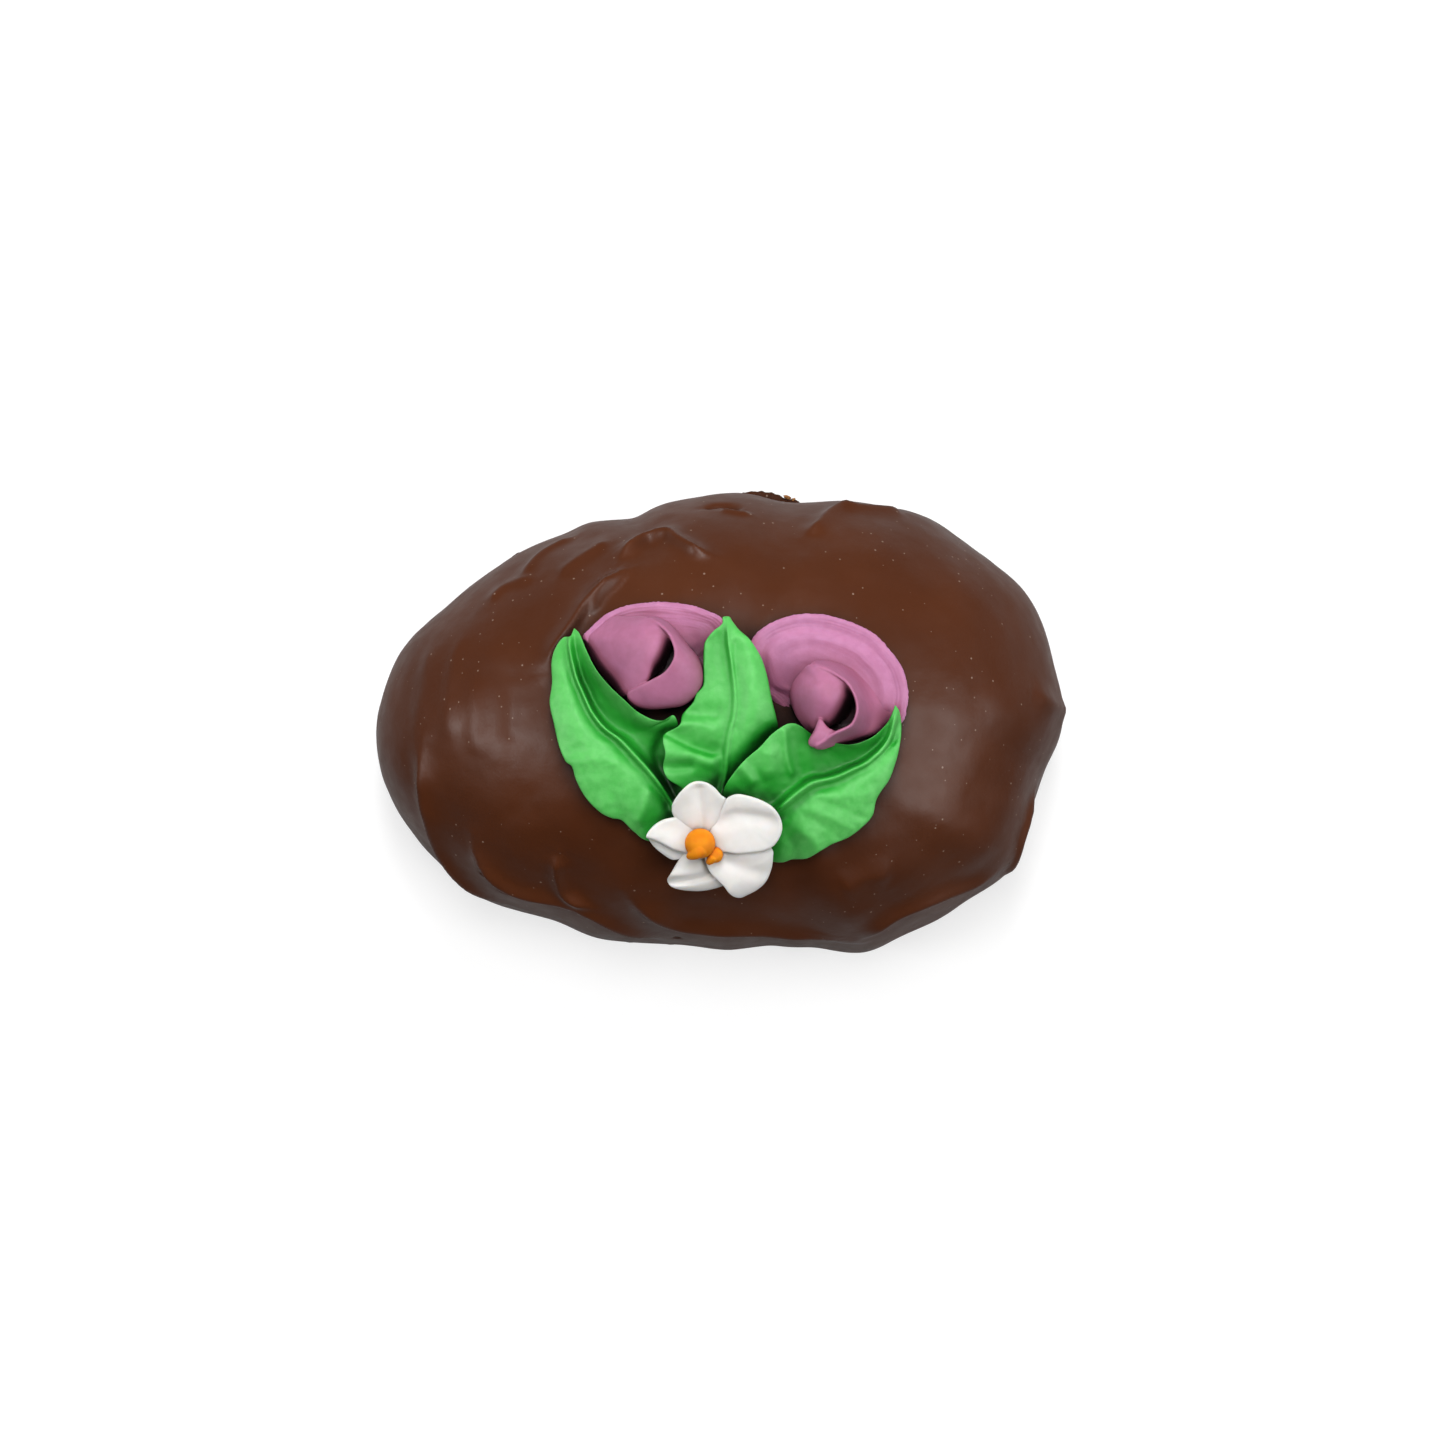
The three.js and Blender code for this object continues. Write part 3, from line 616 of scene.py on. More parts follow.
@dataclass(frozen=True)
class IcingFinish:
    """Piped icing: a soft body colour, paler where it is mottled, with a fine tooth, and painted shade that
    darkens it in its hollows.

    Attributes:
        painted_shade: painted shade, its colour in half-closed hollows.
        painted_deep_shade: painted shade, its colour in closed hollows.
        tooth: size of the fine tooth and of its lumps in mm, and the tooth's share of the relief.
        relief: strength of the tooth.
        opening: the shares of open air at which its painted shade is deepest, half-way and gone.
        reach: how near a wall closes a hollow for the painted shade, in mm.
        depth: share of the light that goes into it.
        depth_colour: how far each colour of that light goes.
        depth_scale: how far that is, in mm.
    """

    name: str
    body: Colour
    pale: Colour
    painted_shade: Colour
    painted_deep_shade: Colour
    roughness: float = 0.6
    tooth: Point = (0.16, 1.3, 0.5)
    relief: float = 0.3
    opening: Point = (0.2, 0.6, 0.95)
    reach: float = 7.0
    gloss: float = 0.5
    depth: float = 0.15
    depth_colour: Colour = (1.0, 0.5, 0.4)
    depth_scale: float = 0.8

    def build(self, groups: Groups) -> Material:
        """The material, from the shared groups."""
        material, kit, shader = new_material(self.name)
        sizes = dict(zip(("Tooth size", "Lump size", "Tooth share"), self.tooth))
        relief = kit.add("ShaderNodeGroup", sizes, node_tree=groups.tooth)
        body = kit.mix(kit.ramp(relief.outputs["Mottle"], 0.3, 0.7), self.body, self.pale)
        # Painted shade: the body colour is darkened towards a half-dark and a dark colour as the walls round
        # a place close in.
        open_air = kit.openness(self.reach)
        painted_hollow_shade = kit.mix(kit.ramp(open_air, *self.opening[:2]), self.painted_deep_shade, self.painted_shade)
        kit.feed(
            shader,
            {
                "Base Color": kit.mix(kit.ramp(open_air, *self.opening[1:]), painted_hollow_shade, body),
                "Roughness": self.roughness,
                "Specular IOR Level": self.gloss,
                "Subsurface Weight": self.depth,
                "Subsurface Radius": self.depth_colour,
                "Subsurface Scale": self.depth_scale * MM,
                "Normal": kit.bump(relief.outputs["Height"], self.relief, 0.12),
            },
        )
        return material


CHOCOLATE = ChocolateFinish()
BROKEN = ChocolateFinish("broken_chocolate", (0.050, 0.0135, 0.0035), (0.075, 0.020, 0.005), 0.55, 0.3)
# In each icing finish the third and fourth colours are painted shade, for half-closed and for closed hollows.
CRUMBLY = IcingFinish(
    "pale_crumb",
    (0.32, 0.13, 0.035), (0.42, 0.19, 0.06), (0.26, 0.10, 0.028), (0.08, 0.03, 0.01), 0.7, reach=1.0,
)
PURPLE = IcingFinish(
    "purple_buttercream",
    (0.49, 0.187, 0.345), (0.54, 0.22, 0.40), (0.34, 0.100, 0.185), (0.022, 0.003, 0.007), 0.58,
)
# Painted shade: a darker, redder copy of the dishes' purple icing for the buds, standing in for the shade on
# their sloping sides.
SHADED_BUD_PURPLE = IcingFinish(
    "purple_buttercream_bud_painted_shade",
    (0.43, 0.150, 0.265), (0.47, 0.168, 0.30), (0.30, 0.085, 0.145), (0.022, 0.003, 0.007), 0.58,
)
GREEN = IcingFinish(
    "green_buttercream",
    (0.090, 0.51, 0.096), (0.120, 0.57, 0.124), (0.012, 0.30, 0.020), (0.0, 0.025, 0.001), 0.48,
    opening=(0.25, 0.68, 1.0), depth_colour=(0.3, 1.0, 0.3),
)
WHITE = IcingFinish(
    "white_royal_icing",
    (0.80, 0.78, 0.755), (0.83, 0.81, 0.785), (0.74, 0.71, 0.66), (0.30, 0.28, 0.24), 0.55,
    tooth=(0.16, 1.3, 0.2), relief=0.12, opening=(0.1, 0.5, 0.8),
    depth=0.35, depth_colour=(1.0, 0.75, 0.55), depth_scale=1.4,
)
ORANGE = IcingFinish(
    "orange_icing",
    (0.74, 0.215, 0.0), (0.80, 0.27, 0.0), (0.62, 0.14, 0.0), (0.30, 0.05, 0.0), 0.65,
    tooth=(0.16, 1.3, 0.25), relief=0.2, opening=(0.15, 0.5, 0.8),
    reach=2.5, gloss=0.35, depth=0.3, depth_colour=(1.0, 0.4, 0.1),
)


# ------------------------------------------------------------------ the chocolate


@dataclass(frozen=True)
class Fold:
    """A fold of the set chocolate.

    Attributes:
        line: [degrees round, degrees down from the crown] along the crest.
        rise: height of the crest in mm; negative for a furrow.
        left: how far the fold reaches to the left of the line, in mm.
        right: how far it reaches to the right.
        crisp: 0 for a round crest, 1 for a sharp one.
        softness: how round the top of a sharp crest is, as a share of its reach.
        fading: the share of its length over which it fades at each end.
        least: the share of its height that is left at its ends.
        turnover: how soon one side's width turns into the other's over the crest.
    """

    line: tuple[Pair, ...]
    rise: float
    left: float
    right: float
    crisp: float = 0.5
    softness: float = 0.36
    fading: float = 0.22
    least: float = 0.15
    turnover: float = 0.6

    def lift(self, form: EggForm, points: Array, outward: Array) -> Array:
        """How far the fold pushes each point of the dome out."""
        shares = np.linspace(0.0, 1.0, 90)
        turns = np.radians(line_through(self.line, shares))
        crest = form.polar(turns[:, 0], turns[:, 1])
        near, nearest, gap, way, past = near_line(crest, points, 3.5 * max(self.left, self.right))
        side = np.sum(np.cross(outward[near], way) * gap, axis=1)
        blend = smooth(0.5 + side / (self.turnover * (self.left + self.right)))
        x = np.hypot(side, past) / (self.right + (self.left - self.right) * blend)
        round_crest = np.exp(-(x**2))
        sharp_crest = np.exp(-(np.sqrt(x**2 * 2.2 + self.softness**2) - self.softness) * 1.35)
        crest_form = round_crest + self.crisp * (sharp_crest - round_crest)
        fade = smooth(shares[nearest] / self.fading) * smooth((1 - shares[nearest]) / self.fading)
        lift = np.zeros(len(points))
        lift[near] = self.rise * crest_form * (self.least + (1 - self.least) * fade)
        return lift


@dataclass(frozen=True)
class Pit:
    """A small burst bubble in the chocolate: place in degrees, radius and depth in mm."""

    round: float
    down: float
    radius: float
    depth: float

    def sink(self, form: EggForm, points: Array) -> Array:
        """How far the pit draws each point of the dome in."""
        centre = form.polar(np.radians([self.round]), np.radians([self.down]))
        return self.depth * np.exp(-((lengths(points - centre) / self.radius) ** 4))


@dataclass(frozen=True)
class ChocolateEgg(Piece):
    """The dipped egg: a smooth dome with folds, waves and pits, a tucked skirt and a thin foot.

    Attributes:
        skirt: below the widest line, shares of the outline's radius with their heights.
        foot_lips: where the foot stands out further.
        foot_rough: how far the foot's edge wanders, in mm.
        waves: the coat's unevenness: height and size in mm, and seed.
    """

    form: EggForm = FORM
    segments: int = 500
    dome_rings: int = 150
    foot_height: float = 2.2
    skirt: tuple[Pair, ...] = (
        (1.0, 9.0), (0.992, 6.3), (0.974, 3.9), (0.962, 2.5), (0.970, 1.7), (0.974, 0.9), (0.966, 0.25),
        (0.955, 0.0),
    )
    foot_lips: tuple[Lump, ...] = (Lump(83, 9, 1.0), Lump(98, 3.5, -0.8), Lump(255, 20, 0.5))
    foot_rough: float = 0.35
    folds: tuple[Fold, ...] = (
        Fold(((170, 26), (161, 28), (151, 30), (141, 33), (131, 36), (124, 39)), 1.4, 2.4, 1.1, 0.9),
        Fold(((125, 41), (119, 46), (113, 50), (107, 48), (104, 43), (99, 38), (92, 35)), 1.6, 1.8, 1.2, 0.8),
        Fold(((146, 29), (134, 34), (121, 38)), 0.7, 1.0, 0.9, 0.7),
        Fold(((146, 54), (139, 60), (134, 63), (128, 65)), 0.7, 1.6, 1.0, 0.7),
        Fold(((155, 54), (150, 56), (144, 51)), 0.6, 1.8, 1.1, 0.5),
        Fold(((141, 46), (131, 50), (122, 52)), 0.7, 2.0, 1.3, 0.6),
        Fold(((64, 46), (62, 51), (61, 58), (58, 67)), 1.3, 1.5, 1.5, 0.8),
        Fold(((60, 62), (54, 65), (48, 70)), 0.9, 1.5, 1.8, 0.6),
        Fold(((95, 60), (89, 61), (84, 57)), -0.9, 0.8, 0.8, 0.8),
        Fold(((90, 57), (85, 55), (81, 55)), 0.5, 0.7, 0.7, 0.6),
        Fold(((186, 54), (192, 58), (199, 65), (206, 74), (214, 78), (222, 80)), 1.4, 2.6, 1.7, 0.9),
        Fold(
            ((207, 57), (212, 62), (220, 66), (230, 65), (238, 66), (247, 72), (256, 80)), 1.5, 2.6, 1.6, 0.9
        ),
        Fold(((222, 46), (226, 55), (230, 61), (237, 62)), 1.1, 1.4, 1.2, 0.9),
        Fold(
            ((243, 52), (250, 59), (260, 66), (274, 66), (285, 69), (295, 71), (302, 75)), 1.6, 3.2, 1.7, 0.85
        ),
        Fold(((302, 72), (309, 67), (318, 67), (327, 73), (333, 77)), 1.2, 2.2, 1.6, 0.7),
        Fold(((303, 48), (311, 47), (317, 50)), 0.5, 2.4, 2.4, 0.2),
        Fold(((4, 60), (2, 70), (2, 84)), 0.8, 2.0, 2.0, 0.6),
        Fold(((348, 80), (339, 78), (331, 85)), 1.0, 1.4, 1.2, 0.8),
        Fold(((172, 42), (182, 40), (193, 41)), 0.22, 1.8, 1.8, 0.1),
        Fold(((168, 35), (180, 32), (192, 33)), -0.18, 1.4, 1.4, 0.1),
        Fold(((161, 52), (175, 47), (188, 46)), 0.3, 2.0, 1.6, 0.2),
        Fold(((165, 60), (178, 55), (192, 58)), 0.35, 2.4, 2.0, 0.2),
    )
    pits: tuple[Pit, ...] = (
        Pit(233, 66, 0.5, 0.6), Pit(219, 70, 0.5, 0.6), Pit(214, 66, 0.5, 0.5), Pit(262, 68, 0.5, 0.5),
        Pit(259, 78, 0.45, 0.5),
    )
    waves: tuple[Point, ...] = ((0.26, 13.0, 1.0), (0.17, 6.0, 5.0), (0.04, 2.4, 8.0))

    def build_mesh(self) -> Mesh:
        """The egg as a closed bmesh in mm."""
        shares, heights = self.profile()
        bm, t, angle = ball((self.segments, len(shares) - 1))
        place, steps = t * (len(shares) - 1), np.arange(len(shares))
        share, height = np.interp(place, steps, shares), np.interp(place, steps, heights)
        move_vertices(bm, self.shape(share, angle, height))
        return bm

    def profile(self) -> tuple[Array, Array]:
        """The section from crown to base: shares of the outline's radius, and heights."""
        shares, heights = self.form.ring(np.linspace(0.0, math.pi / 2, self.dome_rings + 1))
        below = line_through(self.skirt, np.linspace(0.0, 1.0, 31)[1:])
        base = np.array([(0.8, 0.0), (0.4, 0.0), (0.0, 0.0)])
        rows = np.concatenate([np.column_stack([shares, heights]), below, base])
        return rows[:, 0], rows[:, 1]

    def shape(self, share: Array, angle: Array, height: Array) -> Array:
        """Gives the spun profile the egg's outline, folds, waves and foot.

        Args:
            share: each vertex's share of the outline's radius.
            angle: its direction round the egg.
            height: its height in mm.

        Returns:
            The vertices in mm.
        """
        foot = smooth((self.foot_height - height) / 1.0) * (share > 0.9)
        ragged = grain(spun(np.ones(len(angle)), angle, 0 * angle), 0.06, 3.0)
        lip = sum(edge.read(np.degrees(angle)) for edge in self.foot_lips) + self.foot_rough * ragged
        points = spun(share * self.form.reach(angle) + foot * lip, angle, height)
        outward = self.form.outward(points)
        push = sum(rise * grain(points, size, seed) for rise, size, seed in self.waves)
        for fold in self.folds:
            push += fold.lift(self.form, points, outward)
        for pit in self.pits:
            push -= pit.sink(self.form, points)
        on_dome = smooth((height - self.form.bulge_height + 5.0) / 6.0)
        return points + outward * (push * on_dome)[:, None]


@dataclass(frozen=True)
class Ledge(Piece):
    """A rough thin ledge of the chocolate's foot that looks out from under the egg.

    Attributes:
        rim: its outer edge: degrees round the egg, and the distance from the egg's middle in mm.
        heights: evenly spaced along it, its thickness in mm.
        rough: how far its broken edge wanders, in mm.
        root: where it starts under the egg, as a share of the outline's radius.
    """

    rim: tuple[Pair, ...]
    heights: tuple[float, ...]
    faces: Faces = (48, 240)
    rough: float = 0.18
    root: float = 0.90

    def build_mesh(self) -> Mesh:
        """The ledge as a closed bmesh in mm."""
        bm, t, angle = ball(self.faces)
        rim = line_through(self.rim, t)
        turn, size = np.radians(rim[:, 0]), rounded_ends(t, 0.04, 0.04)
        inner = FORM.reach(turn) * self.root
        out = 0.5 + 0.5 * blunt(np.cos(angle), 0.7) * size
        up = 0.5 + 0.5 * blunt(np.sin(angle), 0.6)
        radius = inner + (rim[:, 1] - inner) * out
        points = spun(radius, turn, along(self.heights, t) * (0.5 + 0.5 * size) * up)
        broken = grain(points, 1.3, 2.0) + 0.7 * grain(points, 0.5, 6.0)
        height = points[:, 2] + 0.22 * up * grain(points, 0.8, 9.0)
        move_vertices(bm, spun(radius + self.rough * broken * out, turn, np.maximum(height, 0.0)))
        return bm


@dataclass(frozen=True)
class Crumb(Piece):
    """A crumb stuck to the egg.

    Attributes:
        at: its middle in mm, round the middle of the egg's outline.
        size: half lengths along, across and up.
        turn: degrees that its long way is turned from +X.
        seed: moves its lumps.
    """

    at: Point
    size: Point
    turn: float
    seed: float
    faces: Faces = (28, 20)

    def build_mesh(self) -> Mesh:
        """The crumb as a closed bmesh in mm."""
        bm, t, angle = ball(self.faces)
        skin = spun(np.sin(t * math.pi), angle, np.cos(t * math.pi))
        lumpy = 1 + 0.45 * grain(skin * 4.0 + self.seed, 2.0, self.seed)
        x, y, z = (skin * np.asarray(self.size) * lumpy[:, None]).T
        cos, sin = math.cos(math.radians(self.turn)), math.sin(math.radians(self.turn))
        points = np.column_stack([x * cos - y * sin, x * sin + y * cos, z]) + np.asarray(self.at)
        move_vertices(bm, np.column_stack([points[:, :2], np.maximum(points[:, 2], 0.0)]))
        return bm


LEDGES = (
    Ledge(
        "back_foot_ledge",
        "egg",
        (
            (114, 33.6), (111, 34.28), (107.9, 34.52), (104.9, 34.52), (101.9, 34.43), (99, 34),
            (97, 33.65), (95.7, 33.83), (94.2, 34.35), (92.4, 34.82), (90, 35.22), (87.3, 35.32),
            (84.7, 35.7), (82.7, 36.25), (81.7, 36.21), (79.6, 36.38), (77.8, 36.47), (76, 36.38),
            (74.7, 36.13), (73.3, 36.24), (72.3, 36.5), (70.8, 36.2), (68.5, 35),
        ),
        (0.8, 1.4, 1.6, 1.5, 1.2, 1.5, 1.9, 2.1, 2.1, 1.8, 1.3),
    ),
    Ledge(
        "left_foot_ledge",
        "egg",
        (
            (143, 39.6), (142, 40.33), (139.7, 40.33), (138.2, 40.06), (137.1, 39.45), (135.8, 38.96),
            (134.1, 38.65), (132.2, 38.28), (130.9, 37.97), (129.2, 36.8),
        ),
        (0.8, 1.4, 1.3, 1.0, 1.3, 1.2, 0.8),
        faces=(48, 120),
    ),
)

CRUMBS = (
    Crumb("pale_crumb_long", "egg", (10.0, 34.9, 1.5), (0.55, 0.28, 0.35), -20.0, 1.0),
    Crumb("pale_crumb_small", "egg", (10.9, 34.6, 1.3), (0.3, 0.24, 0.3), 30.0, 2.0),
)


# ------------------------------------------------------------------ piped leaves


@dataclass(frozen=True)
class Crease:
    """A ridge or crease of a soft sheet of icing.

    Attributes:
        line: points [x, y] along it.
        rise: height of it in mm; negative for a valley.
        left: how far it reaches to the left of the line.
        right: how far it reaches to the right.
    """

    line: tuple[Pair, ...]
    rise: float
    left: float
    right: float

    def read(self, x: Array, y: Array) -> Array:
        """How far it lifts the sheet at each place."""
        marks = line_through(self.line, np.linspace(0.0, 1.0, 40))
        reach = 2.2 * max(self.left, self.right)
        near, _, gap, way, past = near_line(marks, np.column_stack([x, y]), reach)
        side = way[:, 0] * gap[:, 1] - way[:, 1] * gap[:, 0]
        width = self.right + (self.left - self.right) * smooth(0.5 + side / (self.left + self.right))
        lift = np.zeros(len(x))
        lift[near] = self.rise * bell(np.hypot(side, past), width)
        return lift


@dataclass(frozen=True)
class HalfLeaf:
    """One half of a leaf, from its vein out to its edge.

    Attributes:
        edge: plan points of the edge from tip to base, with their heights above the dome.
        power: 1 for a straight section, above 1 for one that stays low and rises at its edge.
        swell: how far the section bulges up in mm; negative for a hollow.
    """

    edge: tuple[Point, ...]
    power: float = 1.0
    swell: float = 0.0

    def points(self, vein: Array, t: Array, out: Array) -> Array:
        """Rows of [x, y, height above the dome] a share of the way out from the vein."""
        spoke = line_through(self.edge, t) - vein
        bulge = self.swell * np.sin(math.pi * out**0.8) * smooth(lengths(spoke[:, :2]) / 4.0)
        plan = vein[:, :2] + spoke[:, :2] * out[:, None]
        return np.column_stack([plan, vein[:, 2] + spoke[:, 2] * out**self.power + bulge])


@dataclass(frozen=True)
class Leaf(Piece):
    """A leaf piped from its base to its pulled tip.

    Attributes:
        vein: plan points of the vein from tip to base, with their heights above the dome.
        left: the half to the left on the way from tip to base.
        right: the other half.
        groove_side: 1 if the groove runs to the left of the vein, -1 to the right.
        groove_off: how far the groove lies from the vein's crest, in mm.
        groove_depth: its depth.
        groove_walls: how wide its steep wall and its outer slope are, in mm.
        groove_run: evenly spaced along the vein, how much of the groove's depth is there.
        cord: height of the raised vein.
        cord_width: its width.
        creases: folds and bulges of its halves.
        seed: moves its fine unevenness.
    """

    vein: tuple[Point, ...]
    left: HalfLeaf
    right: HalfLeaf
    groove_side: int
    groove_off: float = 0.75
    groove_depth: float = 0.7
    groove_walls: Pair = (0.26, 1.1)
    groove_run: tuple[float, ...] = (1.0, 1.0)
    cord: float = 0.5
    cord_width: float = 0.6
    creases: tuple[Crease, ...] = ()
    seed: float = 0.0
    thickness: float = 1.3
    faces: Faces = (220, 200)

    def build_mesh(self) -> Mesh:
        """The leaf as a closed bmesh in mm."""
        bm, t, angle = ball(self.faces)
        across, face = np.cos(angle), np.sin(angle)
        vein, out = line_through(self.vein, t), np.abs(across)
        halves = self.left.points(vein, t, out), self.right.points(vein, t, out)
        plan, height = np.split(np.where((across > 0)[:, None], *halves), [2], axis=1)
        top = smooth((face + 0.15) / 0.3)
        away = np.sign(across) * lengths(plan - vein[:, :2])
        height = height[:, 0] + sum(crease.read(plan[:, 0], plan[:, 1]) for crease in self.creases)
        height += top * (self.relief(t, away) + 0.05 * grain(np.column_stack([plan, 0 * t]), 0.9, self.seed))
        half = (self.thickness / 2) * rounded_ends(t, 0.06, 0.08) * blunt(face, 0.6)
        lift = np.maximum(height + half, 0.1 + (half + self.thickness / 2) * 0.3)
        move_vertices(bm, FORM.place(plan, lift))
        return bm

    def relief(self, t: Array, away: Array) -> Array:
        """The raised vein and the groove beside it, at distances from the vein in mm."""
        strength = smooth(t / 0.1) * smooth((1 - t) / 0.1)
        beside = away * self.groove_side
        past = beside - self.groove_off
        steep, slope = self.groove_walls
        groove = self.groove_depth * along(self.groove_run, t) * bell(past, np.where(past > 0, slope, steep))
        return strength * (self.cord * bell(beside, self.cord_width) - groove)


# ------------------------------------------------------------------ tulips


@dataclass(frozen=True)
class TulipDish(Piece):
    """The tulip's spread petal: a shallow dish with fine rings inside its rim.

    Attributes:
        middle: plan point inside the outline, with the dish's height above the dome there.
        edge: places in order round the outline, each with the height of the rim there.
        power: above 1 the dish is flat in its middle and rises at its rim.
        ridges: rings inside the rim: how far in, half width and height, in mm.
        seed: moves its fine rings.
    """

    middle: Point
    edge: tuple[Point, ...]
    power: float = 1.6
    ridges: tuple[Point, ...] = ()
    seed: float = 0.0
    thickness: float = 1.2
    faces: Faces = (420, 200)

    def build_mesh(self) -> Mesh:
        """The dish as a closed bmesh in mm."""
        bm, t, angle = ball(self.faces)
        middle = np.asarray(self.middle)
        spoke = outline_at(self.edge, angle / (2 * math.pi)) - middle
        length = lengths(spoke[:, :2])
        share, side = np.sin(t * math.pi), np.cos(t * math.pi)
        ring = spun(np.full(len(t), 10.0), angle, 0 * t)
        ragged = 0.09 * grain(ring, 0.5, self.seed) * smooth((share - 0.93) / 0.07)
        plan = middle[:2] + spoke[:, :2] * (share + ragged / length)[:, None]
        inside = (1 - share) * length
        lines = 0.045 * grain(np.column_stack([inside * 3.6, ring[:, :2] * 0.16]), 1.0, self.seed)
        lines *= 0.25 + 0.75 * smooth((4.5 - inside) / 3.0)
        lines += 0.03 * grain(np.column_stack([inside, ring[:, :2] * 0.2]), 1.0, self.seed + 3)
        lines += sum(rise * bell(inside - place, width) for place, width, rise in self.ridges)
        half = (self.thickness / 2) * blunt(side, 0.7) * (1 - 0.25 * share)
        height = middle[2] + spoke[:, 2] * share**self.power + half + smooth((side + 0.05) / 0.15) * lines
        move_vertices(bm, FORM.place(plan, height))
        return bm


@dataclass(frozen=True)
class Cushion:
    """A soft sheet of icing, highest over its crown and rounded at its edge.

    Attributes:
        crown: the highest place, in plan, with its height above the dome.
        edge: places in order round the edge, each with the height of the sheet there.
        fullness: evenly spaced round the edge; the higher, the flatter the top and the steeper the edge.
        thickness: of the sheet at its edge.
        depth: how much further the sheet reaches down under its crown.
    """

    crown: Point
    edge: tuple[Point, ...]
    fullness: tuple[float, ...] = (2.0, 2.0, 2.0, 2.0)
    thickness: float = 1.2
    depth: float = 4.0
    faces: Faces = (120, 72)

    def build_mesh(self) -> Mesh:
        """The sheet as a closed bmesh in mm."""
        bm, t, angle = ball(self.faces)
        turn, share, side = angle / (2 * math.pi), np.sin(t * math.pi), np.cos(t * math.pi)
        edge, crown = evened_outline(self.edge, turn, share**1.5), np.asarray(self.crown)
        plan = crown[:2] + (edge[:, :2] - crown[:2]) * share[:, None]
        top = edge[:, 2] + (crown[2] - edge[:, 2]) * (1 - share ** round_about(self.fullness, turn))
        drop = (self.thickness / 2) * (1 - blunt(side, 0.6)) + self.depth * (1 - share**2) * (side < 0)
        move_vertices(bm, FORM.place(plan, top - drop))
        return bm


@dataclass(frozen=True)
class Wrap:
    """The wall wrapped round a bud, falling from its rim to its foot.

    Attributes:
        rim: plan points of its upper edge with their heights, from its start to its tail.
        foot: plan points of its lower edge with their heights, side by side with the rim's.
        belly: evenly spaced along it; above 1 it spreads like a skirt, below 1 it bulges out.
        lip: how much thinner the wall is at its rim.
    """

    rim: tuple[Point, ...]
    foot: tuple[Point, ...]
    belly: tuple[float, ...]
    thickness: float = 1.4
    lip: float = 0.35
    faces: Faces = (110, 200)

    def sheet(self, t: Array, s: Array) -> Array:
        """Points in the middle of the wall: t along it, s from 0 at the foot to 1 at the rim."""
        low, share, bulge = line_through(self.foot, t), np.clip(s, 0.0, 1.0), along(self.belly, t)
        wall = line_through(self.rim, t) - low
        plan = low[:, :2] + wall[:, :2] * (share ** (1 / bulge))[:, None]
        return FORM.place(plan, low[:, 2] + wall[:, 2] * share**bulge)

    def build_mesh(self) -> Mesh:
        """The wall as a closed bmesh in mm."""
        bm, t, angle = ball(self.faces)
        size, step = rounded_ends(t, 0.05, 0.05), 0.01
        s = 0.5 + 0.5 * blunt(np.cos(angle), 0.9) * size
        along_it = self.sheet(t + step, s) - self.sheet(t - step, s)
        up_it = self.sheet(t, s + step) - self.sheet(t, s - step)
        half = (self.thickness / 2) * (1 - self.lip * s) * blunt(np.sin(angle), 0.6) * size
        move_vertices(bm, self.sheet(t, s) + unit(np.cross(along_it, up_it)) * half[:, None])
        return bm


@dataclass(frozen=True)
class TulipBud(Piece):
    """The rolled bud: domed sheets and the wrap round them, run together."""

    sheets: tuple[Cushion, ...]
    wrap: Wrap
    voxel: float = 0.12
    softening: int = 3

    def build_mesh(self) -> Mesh:
        """The bud as a closed bmesh in mm."""
        return fused([part.build_mesh() for part in (*self.sheets, self.wrap)], self.voxel, self.softening)


# ------------------------------------------------------------------ the white flower


@dataclass(frozen=True)
class FlowerPlane:
    """Where the white flower lies: on the front of the dome, tilted forward.

    Attributes:
        centre: the flower's middle in plan.
        lift: its height above the dome.
        tilt: degrees that it leans forward.
    """

    centre: Pair = (-2.4, -19.7)
    lift: float = 5.2
    tilt: float = 26.0

    def place(self, u: Array, v: Array, w: Array) -> Array:
        """Points from the flower's own plane: u to the right, v to the back, w out of it."""
        cos, sin = math.cos(math.radians(self.tilt)), math.sin(math.radians(self.tilt))
        x, y = self.centre
        base = FORM.height(np.array([x]), np.array([y]))[0] + self.lift
        return np.column_stack([x + u, y + v * cos - w * sin, base + v * sin + w * cos])


PLANE = FlowerPlane()


@dataclass(frozen=True)
class Petal(Piece):
    """One petal of the white flower, in the flower's own plane.

    Attributes:
        heart: a point [u, v] inside its outline, and its height there.
        edge: points in order round its outline, each with its height.
        creases: its ridges and creases.
        fullness: the higher, the flatter its middle and the rounder its edge.
    """

    heart: Point
    edge: tuple[Point, ...]
    creases: tuple[Crease, ...]
    fullness: float = 2.0
    thickness: float = 1.5
    faces: Faces = (150, 110)

    def build_mesh(self) -> Mesh:
        """The petal as a closed bmesh in mm."""
        bm, t, angle = ball(self.faces)
        heart, share = np.asarray(self.heart), np.sin(t * math.pi)
        spoke = outline_at(self.edge, angle / (2 * math.pi)) - heart
        u, v = heart[0] + spoke[:, 0] * share, heart[1] + spoke[:, 1] * share
        w = heart[2] + spoke[:, 2] * share**self.fullness + sum(crease.read(u, v) for crease in self.creases)
        move_vertices(bm, PLANE.place(u, v, w + (self.thickness / 2) * blunt(np.cos(t * math.pi), 0.75)))
        return bm


